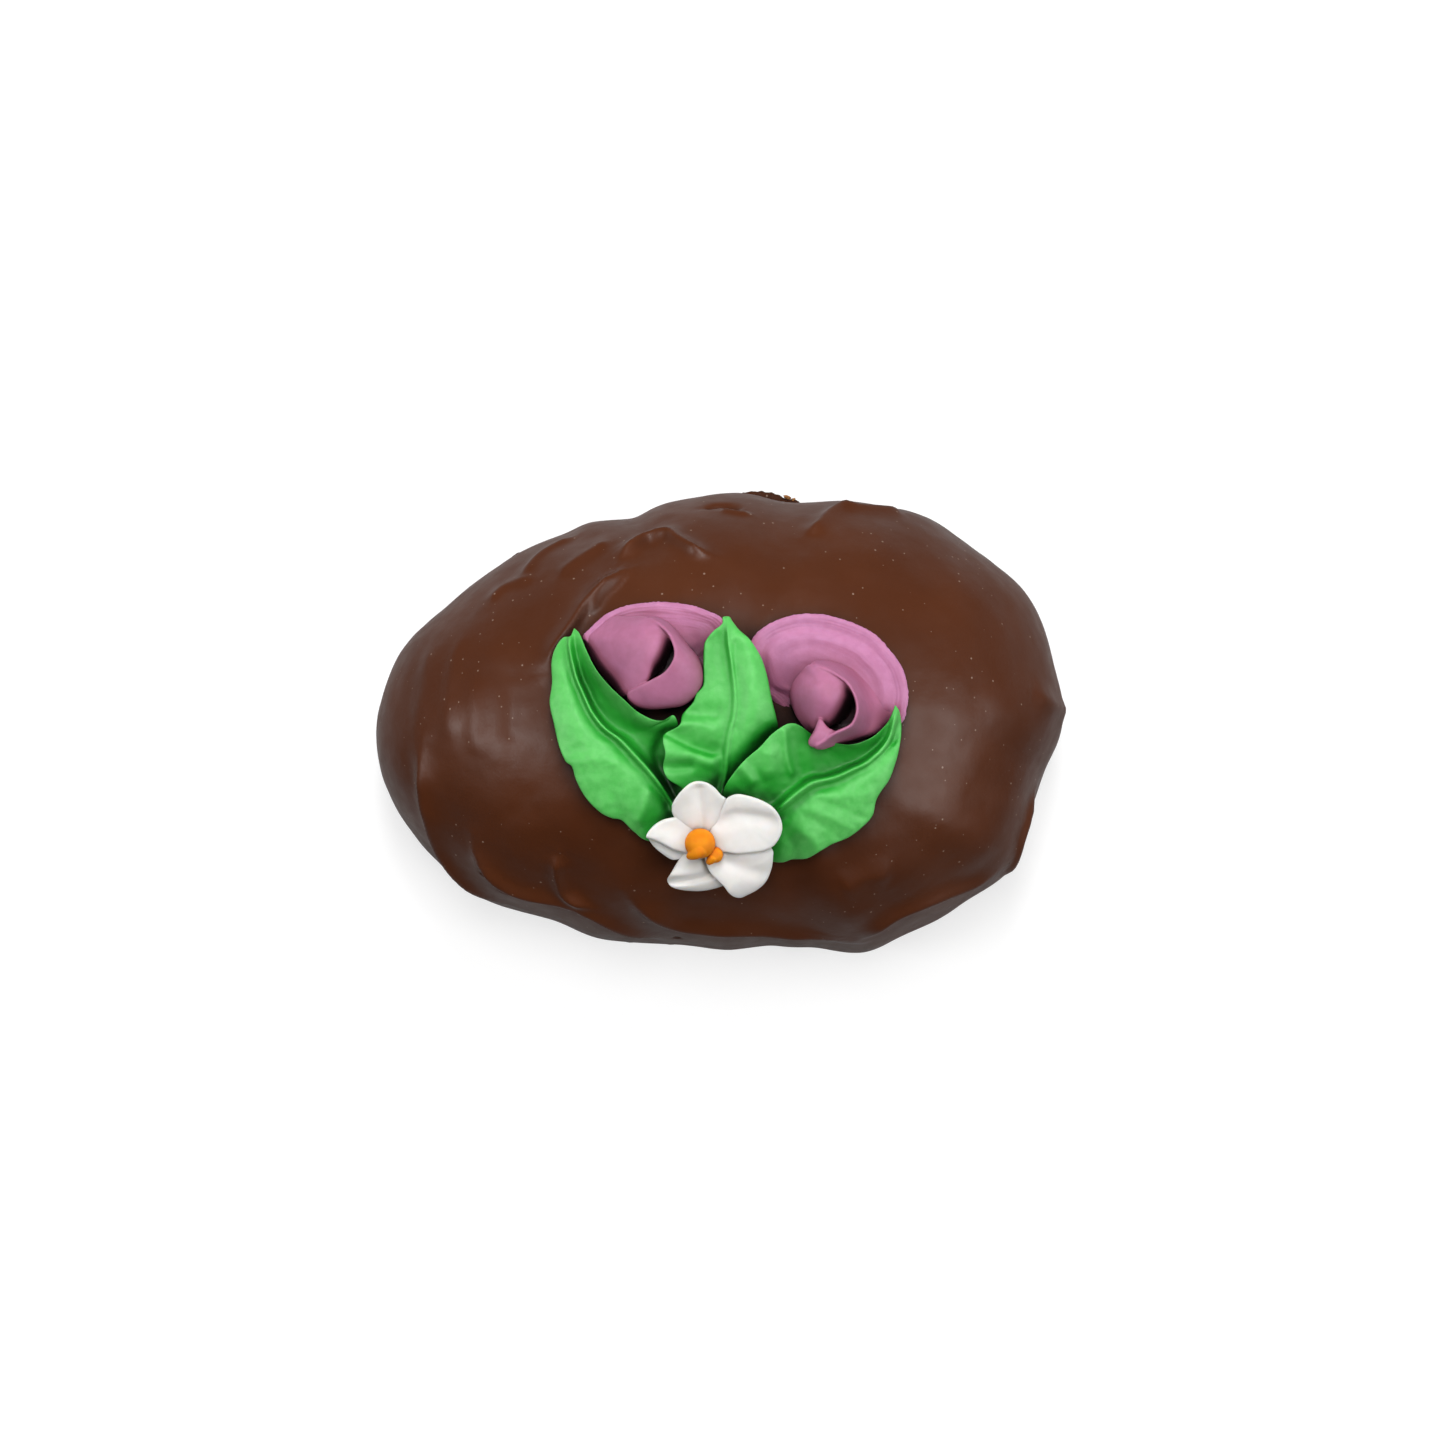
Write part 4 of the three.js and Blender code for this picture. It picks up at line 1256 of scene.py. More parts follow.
@dataclass(frozen=True)
class Bead(Piece):
    """A bead of orange icing with its tip pulled over as the nozzle left it.

    Attributes:
        at: its middle in the flower's plane, with its height.
        radius: of the bead.
        tail: points of the pulled tip, each with its height and its radius.
        squash: its height as a share of its width.
        voxel: the grid that bead and tip are run together on, in mm.
    """

    at: Point
    radius: float
    tail: tuple[tuple[float, float, float, float], ...]
    squash: float = 0.9
    voxel: float = 0.09
    faces: Faces = (48, 36)
    tail_faces: Faces = (32, 60)

    def build_mesh(self) -> Mesh:
        """The bead as a closed bmesh in mm."""
        bm, t, angle = ball(self.faces)
        skin = spun(np.sin(t * math.pi), angle, np.cos(t * math.pi) * self.squash) * self.radius + self.at
        move_vertices(bm, PLANE.place(*skin.T))
        return fused([bm, self.build_tail()], self.voxel, 4)

    def build_tail(self) -> Mesh:
        """The pulled tip as a closed bmesh in mm."""
        bm, t, angle = ball(self.tail_faces)
        spine, step = line_through(self.tail, t), 0.02
        ahead = unit((line_through(self.tail, t + step) - line_through(self.tail, t - step))[:, :3])
        across = unit(np.cross(ahead, (0.0, 0.0, 1.0)))
        ring = across * np.cos(angle)[:, None] + np.cross(across, ahead) * np.sin(angle)[:, None]
        place = spine[:, :3] + ring * (spine[:, 3] * rounded_ends(t, 0.15, 0.1))[:, None]
        move_vertices(bm, PLANE.place(*place.T))
        return bm


# ------------------------------------------------------------------ the icing on this egg


LEAVES = (
    Leaf(
        "leaf_left_icing",
        "leaf_left",
        vein=(
            (-20, 10.2, 3.4), (-20.5, 7.8, 3), (-19.7, 3.9, 2.4), (-18.6, 1.1, 2.2), (-17.3, -1.7, 2.1),
            (-15.7, -3.8, 2.1), (-13.6, -5.4, 2.2), (-11.6, -7.5, 2.3), (-9.7, -9.5, 2.3), (-7.9, -11.7, 2.2),
            (-6.5, -13.8, 2), (-5.4, -16.4, 2), (-4.1, -19.1, 2),
        ),
        left=HalfLeaf(
            edge=(
                (-20, 10.2, 3.4), (-19.2, 9.3, 3.8), (-18.4, 7.3, 4.2), (-17.4, 5.1, 4.6), (-16.3, 3.3, 5),
                (-14.6, 1.3, 5.2), (-13.1, -0.1, 5.2), (-11.5, -1.6, 4.9), (-10, -2.5, 4.6), (-8.7, -3, 4.4),
                (-7.3, -3, 4.4), (-6.2, -2.4, 4.6), (-5.4, -4.3, 3.6), (-5.1, -6.9, 3), (-4.9, -10.2, 2.6),
                (-4.3, -14.2, 2.2), (-4.1, -19.1, 2),
            ),
            power=1.35, swell=-0.9,
        ),
        right=HalfLeaf(
            edge=(
                (-20, 10.2, 3.4), (-20.5, 9, 3.2), (-21.5, 9, 3), (-22.5, 7.7, 2.8), (-23.1, 5.6, 2.7),
                (-23, 2.6, 2.7), (-23.3, -0.2, 2.7), (-22.7, -3.1, 2.7), (-22, -6.1, 2.8), (-21.1, -8.2, 2.9),
                (-20.2, -9, 3), (-19.6, -10.9, 2.9), (-18.3, -13.2, 2.9), (-16.4, -15.1, 2.9),
                (-14.8, -15.9, 2.9), (-13.4, -16.2, 3), (-11.8, -17.7, 2.8), (-9.6, -19, 2.6),
                (-4.1, -19.1, 2),
            ),
            swell=0.45,
        ),
        groove_side=-1, groove_off=0.6, groove_depth=0.5, cord=0.9, cord_width=0.5,
        creases=(
            Crease(
                ((-18.2, 2.8), (-16.4, -0.7), (-14.2, -2.7), (-12, -4.3), (-10.4, -6.1), (-9.2, -8.3)),
                -0.6, 2.6, 1.0,
            ),
            Crease(((-7.3, -4.7), (-8.3, -6.7), (-8.1, -8.7), (-7.2, -11), (-6.4, -13.2)), -0.9, 1.4, 1.0),
            Crease(((-11.1, -2.7), (-9.2, -3.6), (-7.4, -3.4), (-6.4, -2.8)), 0.5, 0.7, 0.7),
            Crease(((-22.1, -4.8), (-20.7, -6.5), (-19.3, -6.7)), -0.2, 1.1, 1.1),
            Crease(((-19.8, -8.5), (-17, -8.1), (-14.3, -8.6)), 0.3, 0.9, 0.9),
            Crease(((-18.2, -13), (-16.4, -12.4), (-14.3, -11.7)), -0.2, 1.2, 1.2),
            Crease(((-13.2, -15.9), (-13.9, -14.6), (-14.3, -13.5)), -0.25, 0.9, 0.9),
            Crease(((-11.1, -16.2), (-10.2, -14.4), (-9.7, -12.7)), 0.3, 0.8, 0.8),
        ),
        seed=1.0,
    ),
    Leaf(
        "leaf_middle_icing",
        "leaf_middle",
        vein=(
            (0.8, 11.2, 5.8), (1, 9.3, 5.4), (1.2, 7, 5), (1.7, 4.1, 4.8), (2.1, 0.9, 4.6), (2.1, -1.9, 4.3),
            (1.4, -4.6, 3.8), (1, -7.3, 3.3), (0.9, -9.7, 2.9), (0.3, -12.3, 2.6), (-0.8, -15.6, 2.6),
        ),
        left=HalfLeaf(
            edge=(
                (0.8, 11.2, 5.8), (1.4, 11.1, 5.8), (1.7, 10.6, 5.7), (2.6, 9.4, 5.6), (3.9, 8.2, 5.4),
                (4.8, 7, 5.2), (5.8, 5.2, 5), (6.5, 2.9, 4.8), (7.1, -0.1, 4.5), (7.8, -2.8, 3.8),
                (8.1, -4.7, 3), (7.6, -6.7, 2.4), (6.2, -9.4, 2.2), (4.2, -11.8, 2.1), (1.4, -14, 2.3),
                (-0.8, -15.6, 3.2),
            ),
            swell=0.45,
        ),
        right=HalfLeaf(
            edge=(
                (0.8, 11.2, 5.8), (0.4, 11, 5.8), (0.3, 10.1, 5.7), (-1, 9, 5.5), (-2, 7.6, 5.1),
                (-2.2, 5.8, 4.9), (-2.2, 3.5, 4.7), (-2.3, 1.7, 4.5), (-3.2, 0.6, 4.4), (-3.6, -0.5, 4.3),
                (-5, -2.1, 4.3), (-5.5, -3.7, 4.3), (-7.4, -4.7, 4.4), (-7.7, -5.9, 4.4), (-7.4, -7.5, 4.2),
                (-7.7, -9.3, 4), (-7, -10.9, 3.8), (-5.1, -12.1, 3.6), (-3.4, -13.9, 3.4), (-0.8, -15.6, 3.2),
            ),
            power=1.3, swell=-0.6,
        ),
        groove_side=-1, groove_depth=0.3, groove_run=(0.0, 0.1, 0.5, 1.0, 1.0), cord=0.32, cord_width=0.36,
        creases=(
            Crease(((4.4, 7.5), (4.6, 2.9), (5, -1), (3.9, -3.7)), 0.35, 1.3, 1.3),
            Crease(((2.3, 7), (2.4, 3.1), (2.6, -1), (2.3, -3.7)), -0.3, 1.0, 0.5),
            Crease(((-4.9, -1.9), (-2.9, -2.1), (-0.6, -1.9)), -0.5, 1.2, 1.2),
            Crease(((-5.4, -3.3), (-3.1, -3.5), (-1.1, -4.2)), 0.35, 1.2, 1.0),
            Crease(((-7.4, -4.6), (-5.4, -5.5), (-3.6, -6.4), (-1.3, -7.1)), -0.7, 1.3, 0.7),
            Crease(((-7, -7.5), (-4.2, -7.9), (-1.3, -8.6)), 0.45, 1.0, 1.0),
            Crease(((-7.7, -9.3), (-6.1, -9.3), (-4.2, -9.1)), -0.45, 0.9, 0.7),
            Crease(((1.6, -11.6), (3.2, -9.4), (5.2, -7.6), (7.4, -6)), -1.0, 1.9, 1.2),
        ),
        seed=2.0,
    ),
    Leaf(
        "leaf_right_icing",
        "leaf_right",
        vein=(
            (24, -0.6, 4.4), (23.7, -2.9, 4), (22.8, -5.6, 3.9), (20.3, -8.1, 3.5), (17.8, -9.4, 3),
            (15.5, -10.5, 3), (12.8, -11.3, 3.2), (10.3, -13, 3.5), (8.7, -14.3, 3.6), (6.6, -15.8, 3.6),
            (4.2, -17.1, 3.4), (2.1, -18.1, 3.2),
        ),
        left=HalfLeaf(
            edge=(
                (24, -0.6, 4.4), (24.6, -1.4, 4.2), (24.9, -2.8, 4), (24.9, -4.5, 3.9), (24.6, -6.5, 3.9),
                (24.2, -8.1, 3.8), (23.3, -10.6, 3.6), (22, -12.5, 3.5), (21.4, -13.7, 3.5), (21, -15.5, 3.5),
                (19.7, -17, 3.5), (17.7, -18.5, 3.4), (15.5, -19.4, 3.3), (13.8, -20.4, 3.1),
                (12, -21.3, 2.6), (10, -21.4, 2.6), (8.6, -21.8, 2.6), (6.7, -21.5, 2.6), (4.2, -20.1, 2.8),
                (2.1, -18.1, 3.2),
            ),
            swell=0.4,
        ),
        right=HalfLeaf(
            edge=(
                (24, -0.6, 4.4), (23.6, -1.7, 4.4), (22.8, -3.2, 4.4), (21.2, -4.8, 4.6), (19.6, -5.7, 4.8),
                (17.8, -6.2, 5), (16, -6.1, 5), (14.1, -5.8, 5), (12.3, -4.8, 5.2), (11.1, -3.9, 5.4),
                (10, -3.5, 5.5), (8.8, -3.8, 5.6), (7, -5.1, 5.5), (5.5, -6.7, 5.2), (3.5, -8.4, 5),
                (1.9, -10.2, 4.7), (0.7, -12, 4.3), (0.3, -13.7, 3.9), (1, -16, 3.5), (2.1, -18.1, 3.2),
            ),
            power=1.35, swell=-0.9,
        ),
        groove_side=1, groove_off=0.75, groove_depth=0.6, cord=0.9, cord_width=0.65,
        creases=(
            Crease(
                (
                    (22.9, -5.5), (20.1, -7.7), (17.8, -8.6), (15.5, -9.4),
                    (13.3, -9.9), (11.4, -10.5), (9.8, -11.7), (8, -13.4),
                ),
                -0.9, 0.8, 2.4,
            ),
            Crease(((12.8, -11), (11.4, -11.9), (9.8, -13.2), (8.5, -14.6)), 0.45, 0.7, 0.7),
            Crease(((6.9, -8), (6.9, -9.6)), 0.6, 1.2, 1.2),
            Crease(((8.8, -4.8), (9.1, -7.5), (9.7, -9.8)), 0.35, 0.5, 0.5),
            Crease(((10.3, -4.8), (10.7, -7.5), (11.2, -9.7)), -0.4, 1.1, 1.1),
            Crease(((3, -9.5), (4.4, -11.1)), 0.4, 0.8, 0.8),
            Crease(((4.6, -8.9), (5.7, -11.1)), -0.15, 0.9, 0.9),
            Crease(((13.7, -13.8), (16.5, -14.6), (19.5, -15.8)), -0.16, 0.6, 0.6),
            Crease(((11.9, -16), (14.2, -17.1), (16.5, -18.6)), -0.14, 0.6, 0.6),
            Crease(((12.8, -13.1), (16.9, -13.1), (20.6, -12.9)), 0.2, 0.8, 0.8),
            Crease(((12.8, -15.1), (15.6, -16.2), (17.9, -17.3)), 0.18, 0.6, 0.6),
            Crease(((11.5, -18), (12.9, -19.3), (13.8, -20.7)), 0.4, 0.9, 0.9),
            Crease(((9.2, -18), (9.9, -19.6), (10.6, -21.1)), -0.25, 0.8, 0.8),
        ),
        seed=3.0,
    ),
)

DISHES = (
    TulipDish(
        "tulip_left_dish",
        "tulip_left_petal",
        middle=(-8.0, 6.5, 1.8), power=1.1,
        edge=(
            (1.4, 9.4, 2.6), (0.3, 11.3, 3.2), (-1.6, 12.3, 3.4), (-4.1, 13.2, 3.4), (-7.5, 13.7, 3.4),
            (-10.2, 13.6, 3.4), (-13, 13.2, 3.4), (-15.7, 12, 3.4), (-17.8, 10.1, 3.4), (-18.8, 8.7, 3.2),
            (-17, 6.9, 2.4), (-14.6, 4.6, 1.8), (-11.6, 2.6, 1.2), (-7.5, 2, 1), (-4.1, 2.3, 1),
            (-1.6, 4.5, 1.2), (0.3, 6.7, 1.6),
        ),
        ridges=((0.5, 0.7, 0.18), (2.0, 0.6, -0.10)),
        seed=1.0,
    ),
    TulipDish(
        "tulip_right_dish",
        "tulip_right_petal",
        middle=(15.0, 2.5, 0.8),
        edge=(
            (25.9, 1.6, 3.2), (25.1, 4.7, 3.2), (23.4, 7.1, 3.2), (21.3, 9.3, 3.2), (18.6, 10.7, 3.2),
            (15.8, 11.6, 3.2), (13.1, 12, 3.2), (10.3, 11.8, 3.2), (7.6, 10.9, 3.2), (5.5, 9.6, 3.2),
            (4.4, 8.2, 3.2), (4, 6.9, 3), (4.2, 4.5, 2), (4.9, 2, 0.8), (7, 0.4, 0), (8.8, -1.6, -0.6),
            (10.6, -4.4, -0.6), (13.1, -6, 1), (17.9, -6.6, 1.2), (22, -5.4, 1.6), (25.1, -2.7, 2.6),
            (25.7, -0.8, 3),
        ),
        ridges=((0.5, 0.7, 0.2), (1.9, 0.6, -0.12), (3.4, 0.9, 0.22)),
        seed=4.0,
    ),
)

BUDS = (
    TulipBud(
        "tulip_left_roll",
        "tulip_left_bud",
        sheets=(
            Cushion(
                crown=(-9.8, 7.8, 8.4),
                edge=(
                    (-18.8, 9, 3.2), (-17.8, 6.3, 2.6), (-16.4, 4, 2.4), (-14.7, 2, 2.6), (-13.3, 0.4, 3.9),
                    (-11.8, 0.7, 5.3), (-10.4, 1.3, 6.3), (-9.3, 2.4, 6.4), (-8.5, 3.5, 4), (-7.6, 4.3, 2.6),
                    (-6.9, 5.8, 4), (-6.6, 7.2, 6.6), (-6.7, 8.6, 8.4), (-7.7, 9.7, 8.7), (-9, 10.6, 8.1),
                    (-10.5, 11.3, 6.9), (-12.5, 11.5, 5.2), (-14.8, 11.7, 4), (-16.8, 10.8, 3.3),
                ),
                fullness=(
                    1.5, 1.5, 1.5, 1.5, 1.5, 1.7, 2.0, 2.4, 2.8, 3.0,
                    3.1, 3.1, 3.0, 2.6, 2.2, 2.0, 1.7, 1.5, 1.5,
                ),
                depth=5.0,
            ),
            Cushion(
                crown=(-7.0, 3.5, 2.0),
                edge=((-3.4, 3.0, 1.6), (-6.5, 8.0, 1.6), (-11.0, 4.0, 1.6), (-7.5, -0.6, 1.6)),
                depth=1.5,
            ),
        ),
        wrap=Wrap(
            rim=(
                (-10, 10.9, 7), (-8.9, 10.2, 8), (-7.9, 9.5, 8.6), (-6.8, 8.3, 9), (-6.2, 6.8, 9.1),
                (-6.1, 5.4, 9), (-6.6, 4.2, 8.6), (-7.6, 3.1, 7.9), (-9, 2.4, 7.2), (-10.6, 1.7, 6.4),
                (-11.8, 1.2, 5.4), (-13, 0.6, 4.4),
            ),
            foot=(
                (-9.5, 11.2, 2.7), (-8.2, 10.9, 2.3), (-6.9, 10.2, 2), (-5.6, 8.8, 1.9), (-4.4, 7, 2),
                (-2.9, 5, 2.4), (-2.4, 2.9, 2.6), (-3, 0.9, 2.4), (-5, -0.5, 2.6), (-7.3, -0.9, 2.8),
                (-9.8, -1, 2.6), (-12.2, -0.6, 2.4),
            ),
            belly=(1.0, 1.0, 1.0, 0.8, 0.7, 0.65, 0.6, 0.6, 0.65),
        ),
    ),
    TulipBud(
        "tulip_right_roll",
        "tulip_right_bud",
        sheets=(
            Cushion(
                crown=(14.3, 1.0, 8.5),
                edge=(
                    (12.2, 4.5, 6.7), (11.1, 3.7, 4.8), (10.1, 2.5, 3.6), (9.6, 1.2, 2.8), (9.7, -0.3, 2.6),
                    (10.4, -2.1, 2.8), (11.5, -3.7, 3.4), (12.6, -4.7, 4.4), (13.9, -4.5, 5.2),
                    (15.2, -3.8, 5.6), (16.4, -3.1, 4.2), (17.3, -2.3, 2.4), (18, -1.2, 2.4), (18.2, -0.3, 5),
                    (18.2, 0.6, 6.4), (17.6, 1.7, 8.6), (16.6, 2.6, 8.6), (15.4, 3.4, 8.2), (13.9, 4.1, 7.6),
                ),
                fullness=(
                    2.0, 1.8, 1.8, 1.8, 1.8, 1.8, 1.9, 2.1, 2.3, 2.6,
                    2.8, 2.9, 3.0, 3.0, 3.0, 2.8, 2.5, 2.3, 2.1,
                ),
                depth=5.0,
            ),
            Cushion(
                crown=(13.6, -5.0, 7.2),
                edge=(
                    (13.6, -2.9, 7), (14.7, -4.1, 7.3), (15.9, -4.9, 7.3), (14.2, -6.3, 6.7),
                    (12.8, -6.8, 6.4), (12, -6.1, 6.2), (12.8, -4.5, 6.4),
                ),
                thickness=1.0, depth=0.5,
            ),
            Cushion(
                crown=(17.0, -1.0, 1.8),
                edge=((21.0, -1.0, 1.5), (17.0, 3.0, 1.5), (12.0, 0.0, 1.5), (17.0, -5.0, 1.5)),
                depth=1.2,
            ),
        ),
        wrap=Wrap(
            rim=(
                (12.3, 4.3, 6.8), (13.9, 3.8, 7.7), (15.6, 3, 8.4), (17.2, 1.8, 8.9), (18.1, 0.5, 9.1),
                (18.6, -1.1, 9.1), (18.5, -2.6, 8.9), (17.8, -3.9, 8.4), (16.2, -4.7, 7.9), (14.9, -5.3, 7.4),
                (13.9, -6, 7), (12.5, -6.7, 6.7),
            ),
            foot=(
                (12.3, 4.6, 3.6), (14.8, 5.1, 2.8), (17.3, 4.8, 2), (19.8, 3.9, 1.2), (22.2, 2.5, 1.4),
                (23.8, 0.5, 1.8), (24, -1.9, 2.2), (22.2, -4.2, 2.6), (19.3, -5.3, 2.9), (16.9, -5.9, 3.3),
                (14.6, -6.5, 4.4), (13.2, -6.9, 5),
            ),
            belly=(1.0, 1.2, 1.7, 2.2, 2.2, 1.9, 1.5, 1.2),
        ),
    ),
)

PETALS = (
    Petal(
        "white_petal_1",
        "petal_1",
        heart=(-0.3, 6.2, 0.5),
        edge=(
            (3.4, 6.9, 0.9), (2.6, 7.8, 1.2), (1.8, 8.8, 1.3), (0.8, 9.5, 1.2), (-0.4, 9.7, 1),
            (-1.6, 9.5, 1.3), (-2.8, 8.5, 1.6), (-3.7, 7.2, 1.5), (-4.1, 6, 1.2), (-3.8, 4.5, 0.8),
            (-2, 2.2, 0.2), (-0.3, 0.4, 0), (1.6, 2.4, 0.2), (3, 5.2, 0.5),
        ),
        creases=(Crease(((-0.2, 2), (-0.2, 5), (-0.4, 8.4)), -0.55, 0.75, 0.75),),
    ),
    Petal(
        "white_petal_5",
        "petal_5",
        heart=(-4.3, 2.0, 0.3),
        edge=(
            (0.2, 0.6, 0.2), (-1.2, 3.2, 0.2), (-2.8, 4.4, 0.6), (-3.9, 4.4, 0.9), (-5.4, 4.1, 1.1),
            (-6.6, 3.4, 1.1), (-7.4, 2.5, 1), (-7.6, 1.8, 0.9), (-7.3, 0.9, 0.4), (-6.6, -0.2, 0.1),
            (-5.4, -1.3, 0), (-4, -2.2, -0.1), (-2.4, -1.9, -0.2), (-1, -1.2, -0.1),
        ),
        creases=(
            Crease(((-7.6, 2.1), (-5.6, 1.2), (-4.2, 0.4), (-2.4, -0.4)), 0.9, 1.8, 0.35),
            Crease(((-7, 1), (-5.4, 0.2), (-4.1, -0.6), (-2.6, -1.2)), -0.45, 0.5, 0.9),
        ),
    ),
    Petal(
        "white_petal_4",
        "petal_4",
        heart=(-0.6, -4.2, -0.3),
        edge=(
            (4.5, -5, -0.3), (3.1, -6.1, -0.6), (1.8, -6.7, -0.8), (0, -7.1, -0.9), (-1.7, -7.1, -0.9),
            (-3.4, -6.8, -0.8), (-4.5, -6.2, -0.6), (-4.8, -5.5, -0.5), (-4.4, -4.4, 0), (-3.5, -2.8, -0.2),
            (-2.4, -1.2, -0.2), (0, 0.2, -0.2), (2.4, -0.8, -0.2), (3.8, -2.9, 0),
        ),
        creases=(
            Crease(((-4.4, -5.7), (-1.7, -5.3), (0.2, -4.8), (1.6, -4.2)), -0.6, 0.9, 0.45),
            Crease(((1.2, -3.9), (0.8, -2.6), (0.4, -1.6)), -0.5, 0.6, 0.6),
        ),
    ),
    Petal(
        "white_petal_3",
        "petal_3",
        heart=(5.6, -3.2, 0.5),
        edge=(
            (9.6, -0.4, 0.6), (8.2, 1, 0.5), (5, 1.6, 0.3), (2.2, 0.9, 0.3), (0.5, -0.9, 0.5),
            (0.7, -2.7, 0.9), (1.3, -3.8, 1.1), (2.1, -4.7, 1.1), (3, -5.7, 1), (3.6, -6.6, 0.9),
            (4.4, -7.5, 0.3), (5.3, -7.8, -0.1), (6.3, -7.4, -0.2), (7.6, -6.6, -0.1), (8.8, -5.3, 0.1),
            (9.5, -3.4, 0.3), (9.7, -1.6, 0.7),
        ),
        creases=(Crease(((2.4, -1), (5.4, -2.6), (7.4, -3.8)), -0.35, 1.2, 1.2),),
    ),
    Petal(
        "white_petal_2",
        "petal_2",
        heart=(6.4, 3.2, 1.3),
        edge=(
            (10.9, 3.9, 2.2), (10.4, 5.4, 2.3), (9.4, 6.6, 2.2), (7.9, 7.4, 2), (6.4, 7.9, 1.9),
            (5, 8.1, 1.7), (4, 7.8, 1.5), (3.2, 7, 1.2), (2.2, 4.4, 0.8), (0.8, 1.6, 0.6), (1.6, -0.3, 1),
            (3.3, -0.4, 1.5), (4.9, -0.5, 1.8), (6.6, -0.3, 1.9), (8.2, -0.1, 1.9), (9.4, 0.4, 1.9),
            (10.1, 1.1, 2), (10.8, 2.5, 2.1),
        ),
        creases=(Crease(((2.4, 3.6), (4.4, 4.9), (6.8, 4.9), (9, 4.6)), -0.45, 1.0, 1.3),),
    ),
)

BEADS = (
    Bead(
        "orange_bead_small",
        "middle_small",
        (1.75, -0.75, 1.7),
        1.15,
        ((1.6, -0.6, 2.4, 0.7), (1.2, -1.3, 2.3, 0.6), (0.8, -1.8, 1.9, 0.4)),
    ),
    Bead(
        "orange_bead_large",
        "middle_large",
        (-0.25, 1, 1.9),
        2.1,
        ((0.2, 0.9, 3.0, 1.0), (-0.5, 0.3, 3.2, 0.95), (-1.3, -0.3, 2.9, 0.7), (-1.95, -0.85, 2.3, 0.35)),
    ),
)


# ------------------------------------------------------------------ the studio


def away_at(azimuth: float, elevation: float) -> Vector:
    """The direction that lies so many degrees from +X towards +Y and above the horizon."""
    a, e = math.radians(azimuth), math.radians(elevation)
    return Vector((math.cos(a) * math.cos(e), math.sin(a) * math.cos(e), math.sin(e)))


def stand(data: bpy.types.ID, place: Vector, away: Vector) -> bpy.types.Object:
    """Adds a camera or a light that looks back along a direction.

    Args:
        data: the camera or the light.
        place: where it stands.
        away: the direction from what it looks at.

    Returns:
        The new object.
    """
    made = bpy.data.objects.new(data.name, data)
    made.location = place
    made.rotation_mode = "QUATERNION"
    made.rotation_quaternion = away.to_track_quat("Z", "Y")
    bpy.context.scene.collection.objects.link(made)
    return made


@dataclass(frozen=True)
class Camera:
    """A long lens high over the front of the egg.

    Attributes:
        focal: length of the lens in mm.
        distance: from what it looks at, in mm.
        aim: what it looks at, in the egg's own mm.
        near: the closest it sees, in metres.
    """

    focal: float = 100.0
    sensor: float = 36.0
    azimuth: float = -90.0
    elevation: float = 84.0
    distance: float = 572.5
    aim: Point = (0.4, -0.556, 20.0)
    near: float = 0.02
    far: float = 20.0

    def build(self, centre: Array) -> None:
        """Adds the camera; centre is the plan point over the row frame's origin."""
        data = bpy.data.cameras.new("camera")
        data.lens, data.sensor_width = self.focal, self.sensor
        data.clip_start, data.clip_end = self.near, self.far
        away = away_at(self.azimuth, self.elevation)
        target = Vector((self.aim[0] - centre[0], self.aim[1] - centre[1], self.aim[2]))
        bpy.context.scene.camera = stand(data, (target + away * self.distance) * MM, away)


@dataclass(frozen=True)
class SoftBox:
    """A large soft round light aimed at the egg.

    Attributes:
        name: its name.
        azimuth: direction it stands in, in degrees from +X towards +Y.
        elevation: height above the horizon in degrees.
        distance: from the egg, in metres.
        width: across the light, in metres.
        power: in watts.
        glossy: whether it is seen in reflections.
    """

    name: str
    azimuth: float
    elevation: float
    distance: float
    width: float
    power: float
    glossy: bool = True

    def build(self) -> None:
        """Adds the light to the scene."""
        data = bpy.data.lights.new(self.name, "AREA")
        data.shape, data.size, data.energy = "DISK", self.width, self.power
        away = away_at(self.azimuth, self.elevation)
        stand(data, away * self.distance, away).visible_glossy = self.glossy


LIGHTS = (
    SoftBox("back_light", 90.0, 52.0, 1.2, 0.4, 7.2, glossy=False),
    SoftBox("overhead_light", 96.0, 80.0, 1.2, 0.46, 5.8),
    SoftBox("left_light", 187.0, 38.0, 1.0, 0.34, 2.6),
    SoftBox("right_light", -17.0, 38.0, 1.0, 0.75, 4.5),
)


